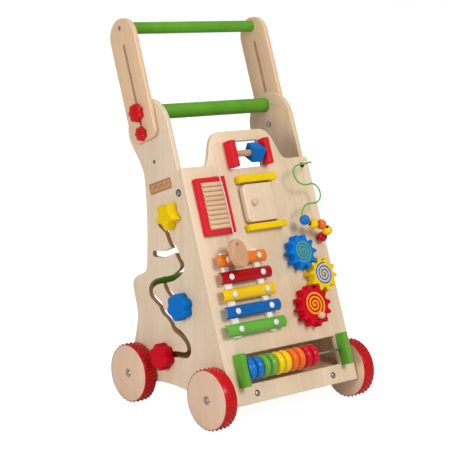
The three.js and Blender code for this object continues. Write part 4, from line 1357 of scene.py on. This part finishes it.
def bead_wire():
    wire = tube("wire", smooth_through(WIRE_ROUTE, 8), WIRE_RADIUS, 12)
    instead_of("bead_wire", wire, PLAY, wire_coating)
    collar = [(1.5, 0.05), (4.2, 0.05), (4.1, 0.9), (3.2, 1.6), (1.9, 1.9), (1.5, 1.9), (1.5, 0.05)]
    for name, (x, y) in zip(("upper", "lower"), WIRE_ENDS):
        place = PLAY @ shift(x, y, 0)
        extra(f"wire_grommet_{name}", turned("grommet", collar, 40), place, black_plastic, "bead_wire")
    joints = {joint["child"]: joint for joint in frame["joints"]}
    for name in ("blue", "yellow_upper", "orange", "yellow_lower", "red"):
        node, colour = f"wire_bead_{name}", name.split("_")[0]
        joint = joints[node]
        upright = Vector(joint["axis"]).to_track_quat("Z", "Y").to_matrix().to_4x4()
        place = Matrix.Translation(Vector(joint["pos_m"])) @ upright
        ball = turned(node, ball_profile(BEAD_RADIUS, BEAD_BORE), 48)
        instead_of(node, ball, place, PAINTS[colour])
        # a black tube lines each bead's bore: painted shade inside the hole
        bore_shade = [(2.5, -5.9), (3.05, -5.9), (3.05, 5.9), (2.5, 5.9), (2.5, -5.9)]
        extra(f"{node}_bore", turned("bore", bore_shade, 32), place, black_plastic, node)


def ball_profile(radius, bore, steps=16):
    """A ball with a hole through it, its rims a little rounded."""
    start = asin((bore + 0.5) / radius)
    line = []
    for i in range(steps + 1):
        angle = start + (pi - 2 * start) * i / steps
        line.append((radius * sin(angle), radius * cos(angle)))
    top = line[0][1] - 0.4
    return [(bore, top), *line, (bore, -top), (bore, top)]


# ------------ counting frame
COUNTER_ROD = (51.9, 7)  # up the slope and out of the face
COUNTER_FIRST = -101.4  # where the first disc starts
COUNTER_PITCH = 28.75  # from one pair to the next
COUNTER_DISC = 14.2  # one disc's thickness
COUNTER_RADIUS = 17.75
COUNTER_RIM = 8.5  # how deep the discs' round rim is
COUNTER_BLOCKS = (("left", -112, -102.6), ("right", 102.6, 112))


def counting_frame():
    along = PLAY @ TURN_TO_X @ shift(*COUNTER_ROD, 0)
    rod = turned("rod", rod_profile(1.6, -104, 104, 0.3), 32)
    instead_of("counter_rack", rod, along, steel)
    for name, x0, x1 in COUNTER_BLOCKS:
        block = plate("block", rounded_box(x0, x1, 26, 77, 1.2), GLUE, 19.5, 1.0)
        extra(f"counter_block_{name}", block, PLAY, green_paint, "counter_rack")
    for i, colour in enumerate(("blue", "green", "yellow", "orange", "red")):
        node = f"counter_beads_{colour}"
        start = COUNTER_FIRST + i * COUNTER_PITCH
        discs = [turned("disc", disc_profile(start + k * COUNTER_DISC), 72) for k in (0, 1)]
        instead_of(node, combined(node, *discs), along, PAINTS[colour])


def disc_profile(start):
    """A flat bead with a full round rim and a small hole."""
    wide, bore, gap = COUNTER_DISC, 2.2, 0.04
    low, high = start + gap, start + wide - gap
    middle, half = (low + high) / 2, (high - low) / 2
    rim = []
    for i in range(19):
        angle = pi * i / 18
        radius = COUNTER_RADIUS - COUNTER_RIM + COUNTER_RIM * sin(angle) ** 0.75
        rim.append((radius, middle - half * cos(angle)))
    return [(bore, low), *rim, (bore, high), (bore, low)]


# ------------ toys on the left side panel
SHAPE_BACK = HALF_WIDTH + SLIP  # how far out the shapes' backs lie
SHAPE_THICK = 17.5
STAR = (23.166, 14.1)  # its radius at the tips and between them


def track_toys():
    star = star_outline(*STAR, radians(-175.4))
    toys = (("star", star, TRACK_MAIN[0], yellow_paint),
            ("blue_flower", lobes(6, 17.4, 21.3, 0.55, 0.6, 12), TRACK_BRANCH[-1], blue_paint),
            ("red_flower", lobes(6, 17.2, 21.2, 0.25, 0.6, 12), TRACK_MAIN[-1], red_paint))
    for node, outline, (y, z), finish in toys:
        front = plate(node, outline, -SHAPE_BACK - SHAPE_THICK, -SHAPE_BACK, 1.3, (), 50, 3)
        shaft = turned("shaft", rod_profile(3, -SHAPE_BACK - 0.5, -INNER_HALF + 1, 0.2), 32)
        stop = turned("stop", rod_profile(9, -INNER_HALF + SLIP, -INNER_HALF + SLIP + 5, 0.8), 48)
        instead_of(node, combined(node, front, shaft, stop), SIDE @ shift(y, z, 0), finish)


def star_outline(tip, waist, turn):
    corners = [polar(waist if i % 2 else tip, turn + i * pi / 5) for i in range(10)]
    return soften(corners, (3.2, 1.6), 5)


NAME_PLATE = (143.7, 350.7)
NAME_PLATE_HALF = (28.5, 8.8)
NAME_PLATE_LEAN = radians(-19)
SIDE_SCREW = (159.4, 386.9)
BARREL_NUT = (99.2, 345.5)


def on_left_side(y, z, lean=0.0):
    """A place on the left panel's outer face, with local z pointing out of it."""
    face = SIDE @ shift(y, z, -HALF_WIDTH)
    return face @ Matrix.Rotation(lean, 4, "Z") @ facing_side(-1)


def side_fittings():
    """The name plate and the screw lie almost flush: the lowered arm passes over them."""
    plate_place = on_left_side(*NAME_PLATE, NAME_PLATE_LEAN)
    wide, high = NAME_PLATE_HALF
    name_plate = plate("name_plate", rounded_box(-wide, wide, -high, high, 2.5), 0.05, 0.25, 0.08)
    extra("name_plate", name_plate, plate_place, plate_wood, "left_side_panel")
    wide, high = wide - 2.5, high - 2.2
    frame_line = rounded_box(-wide, wide, -high, high, 2)
    wave = [(x, 2.4 * sin(x * 0.42)) for x in range(-20, 21)]
    for name, route in (("border", frame_line + frame_line[:1]), ("wave", wave)):
        groove = plate(name, ribbon(route, 0.8), 0.18, 0.3, 0.02, (), 60, 1)
        extra(f"name_plate_{name}", groove, plate_place, burnt_wood, "left_side_panel")
    screw = on_left_side(*SIDE_SCREW)
    extra("side_screw", screw_head("screw", 3, 0.3), screw, dark_steel, "left_side_panel")
    nut = on_left_side(*BARREL_NUT)
    barrel = [(0, 0.3), (1.3, 0.3), (1.5, 1.0), (3.2, 1.2), (4.0, 0.9), (4.2, 0.3), (4.2, 0.05), (0, 0.05)]
    extra("side_barrel_nut", turned("barrel", barrel, 40), nut, steel, "left_side_panel")
    # a dark ring round the barrel nut: painted shade in the hole that it sits in
    ring = [(4.3, 0.9), (5.4, 0.8), (5.8, 0.4), (5.8, 0.05), (4.3, 0.05), (4.3, 0.9)]
    extra("side_barrel_recess_shade", turned("ring", ring, 40), nut, black_steel, "left_side_panel")


# ------------ the whole walker
camera()
lamps()
backdrop_and_floor()
string_and_beater()
play_panel()
side_panels()
bars_and_board()
handle()
clamps()
wheels()
washboard()
door()
nut_and_screw()
xylophone()
gears()
bead_wire()
counting_frame()
track_toys()
side_fittings()
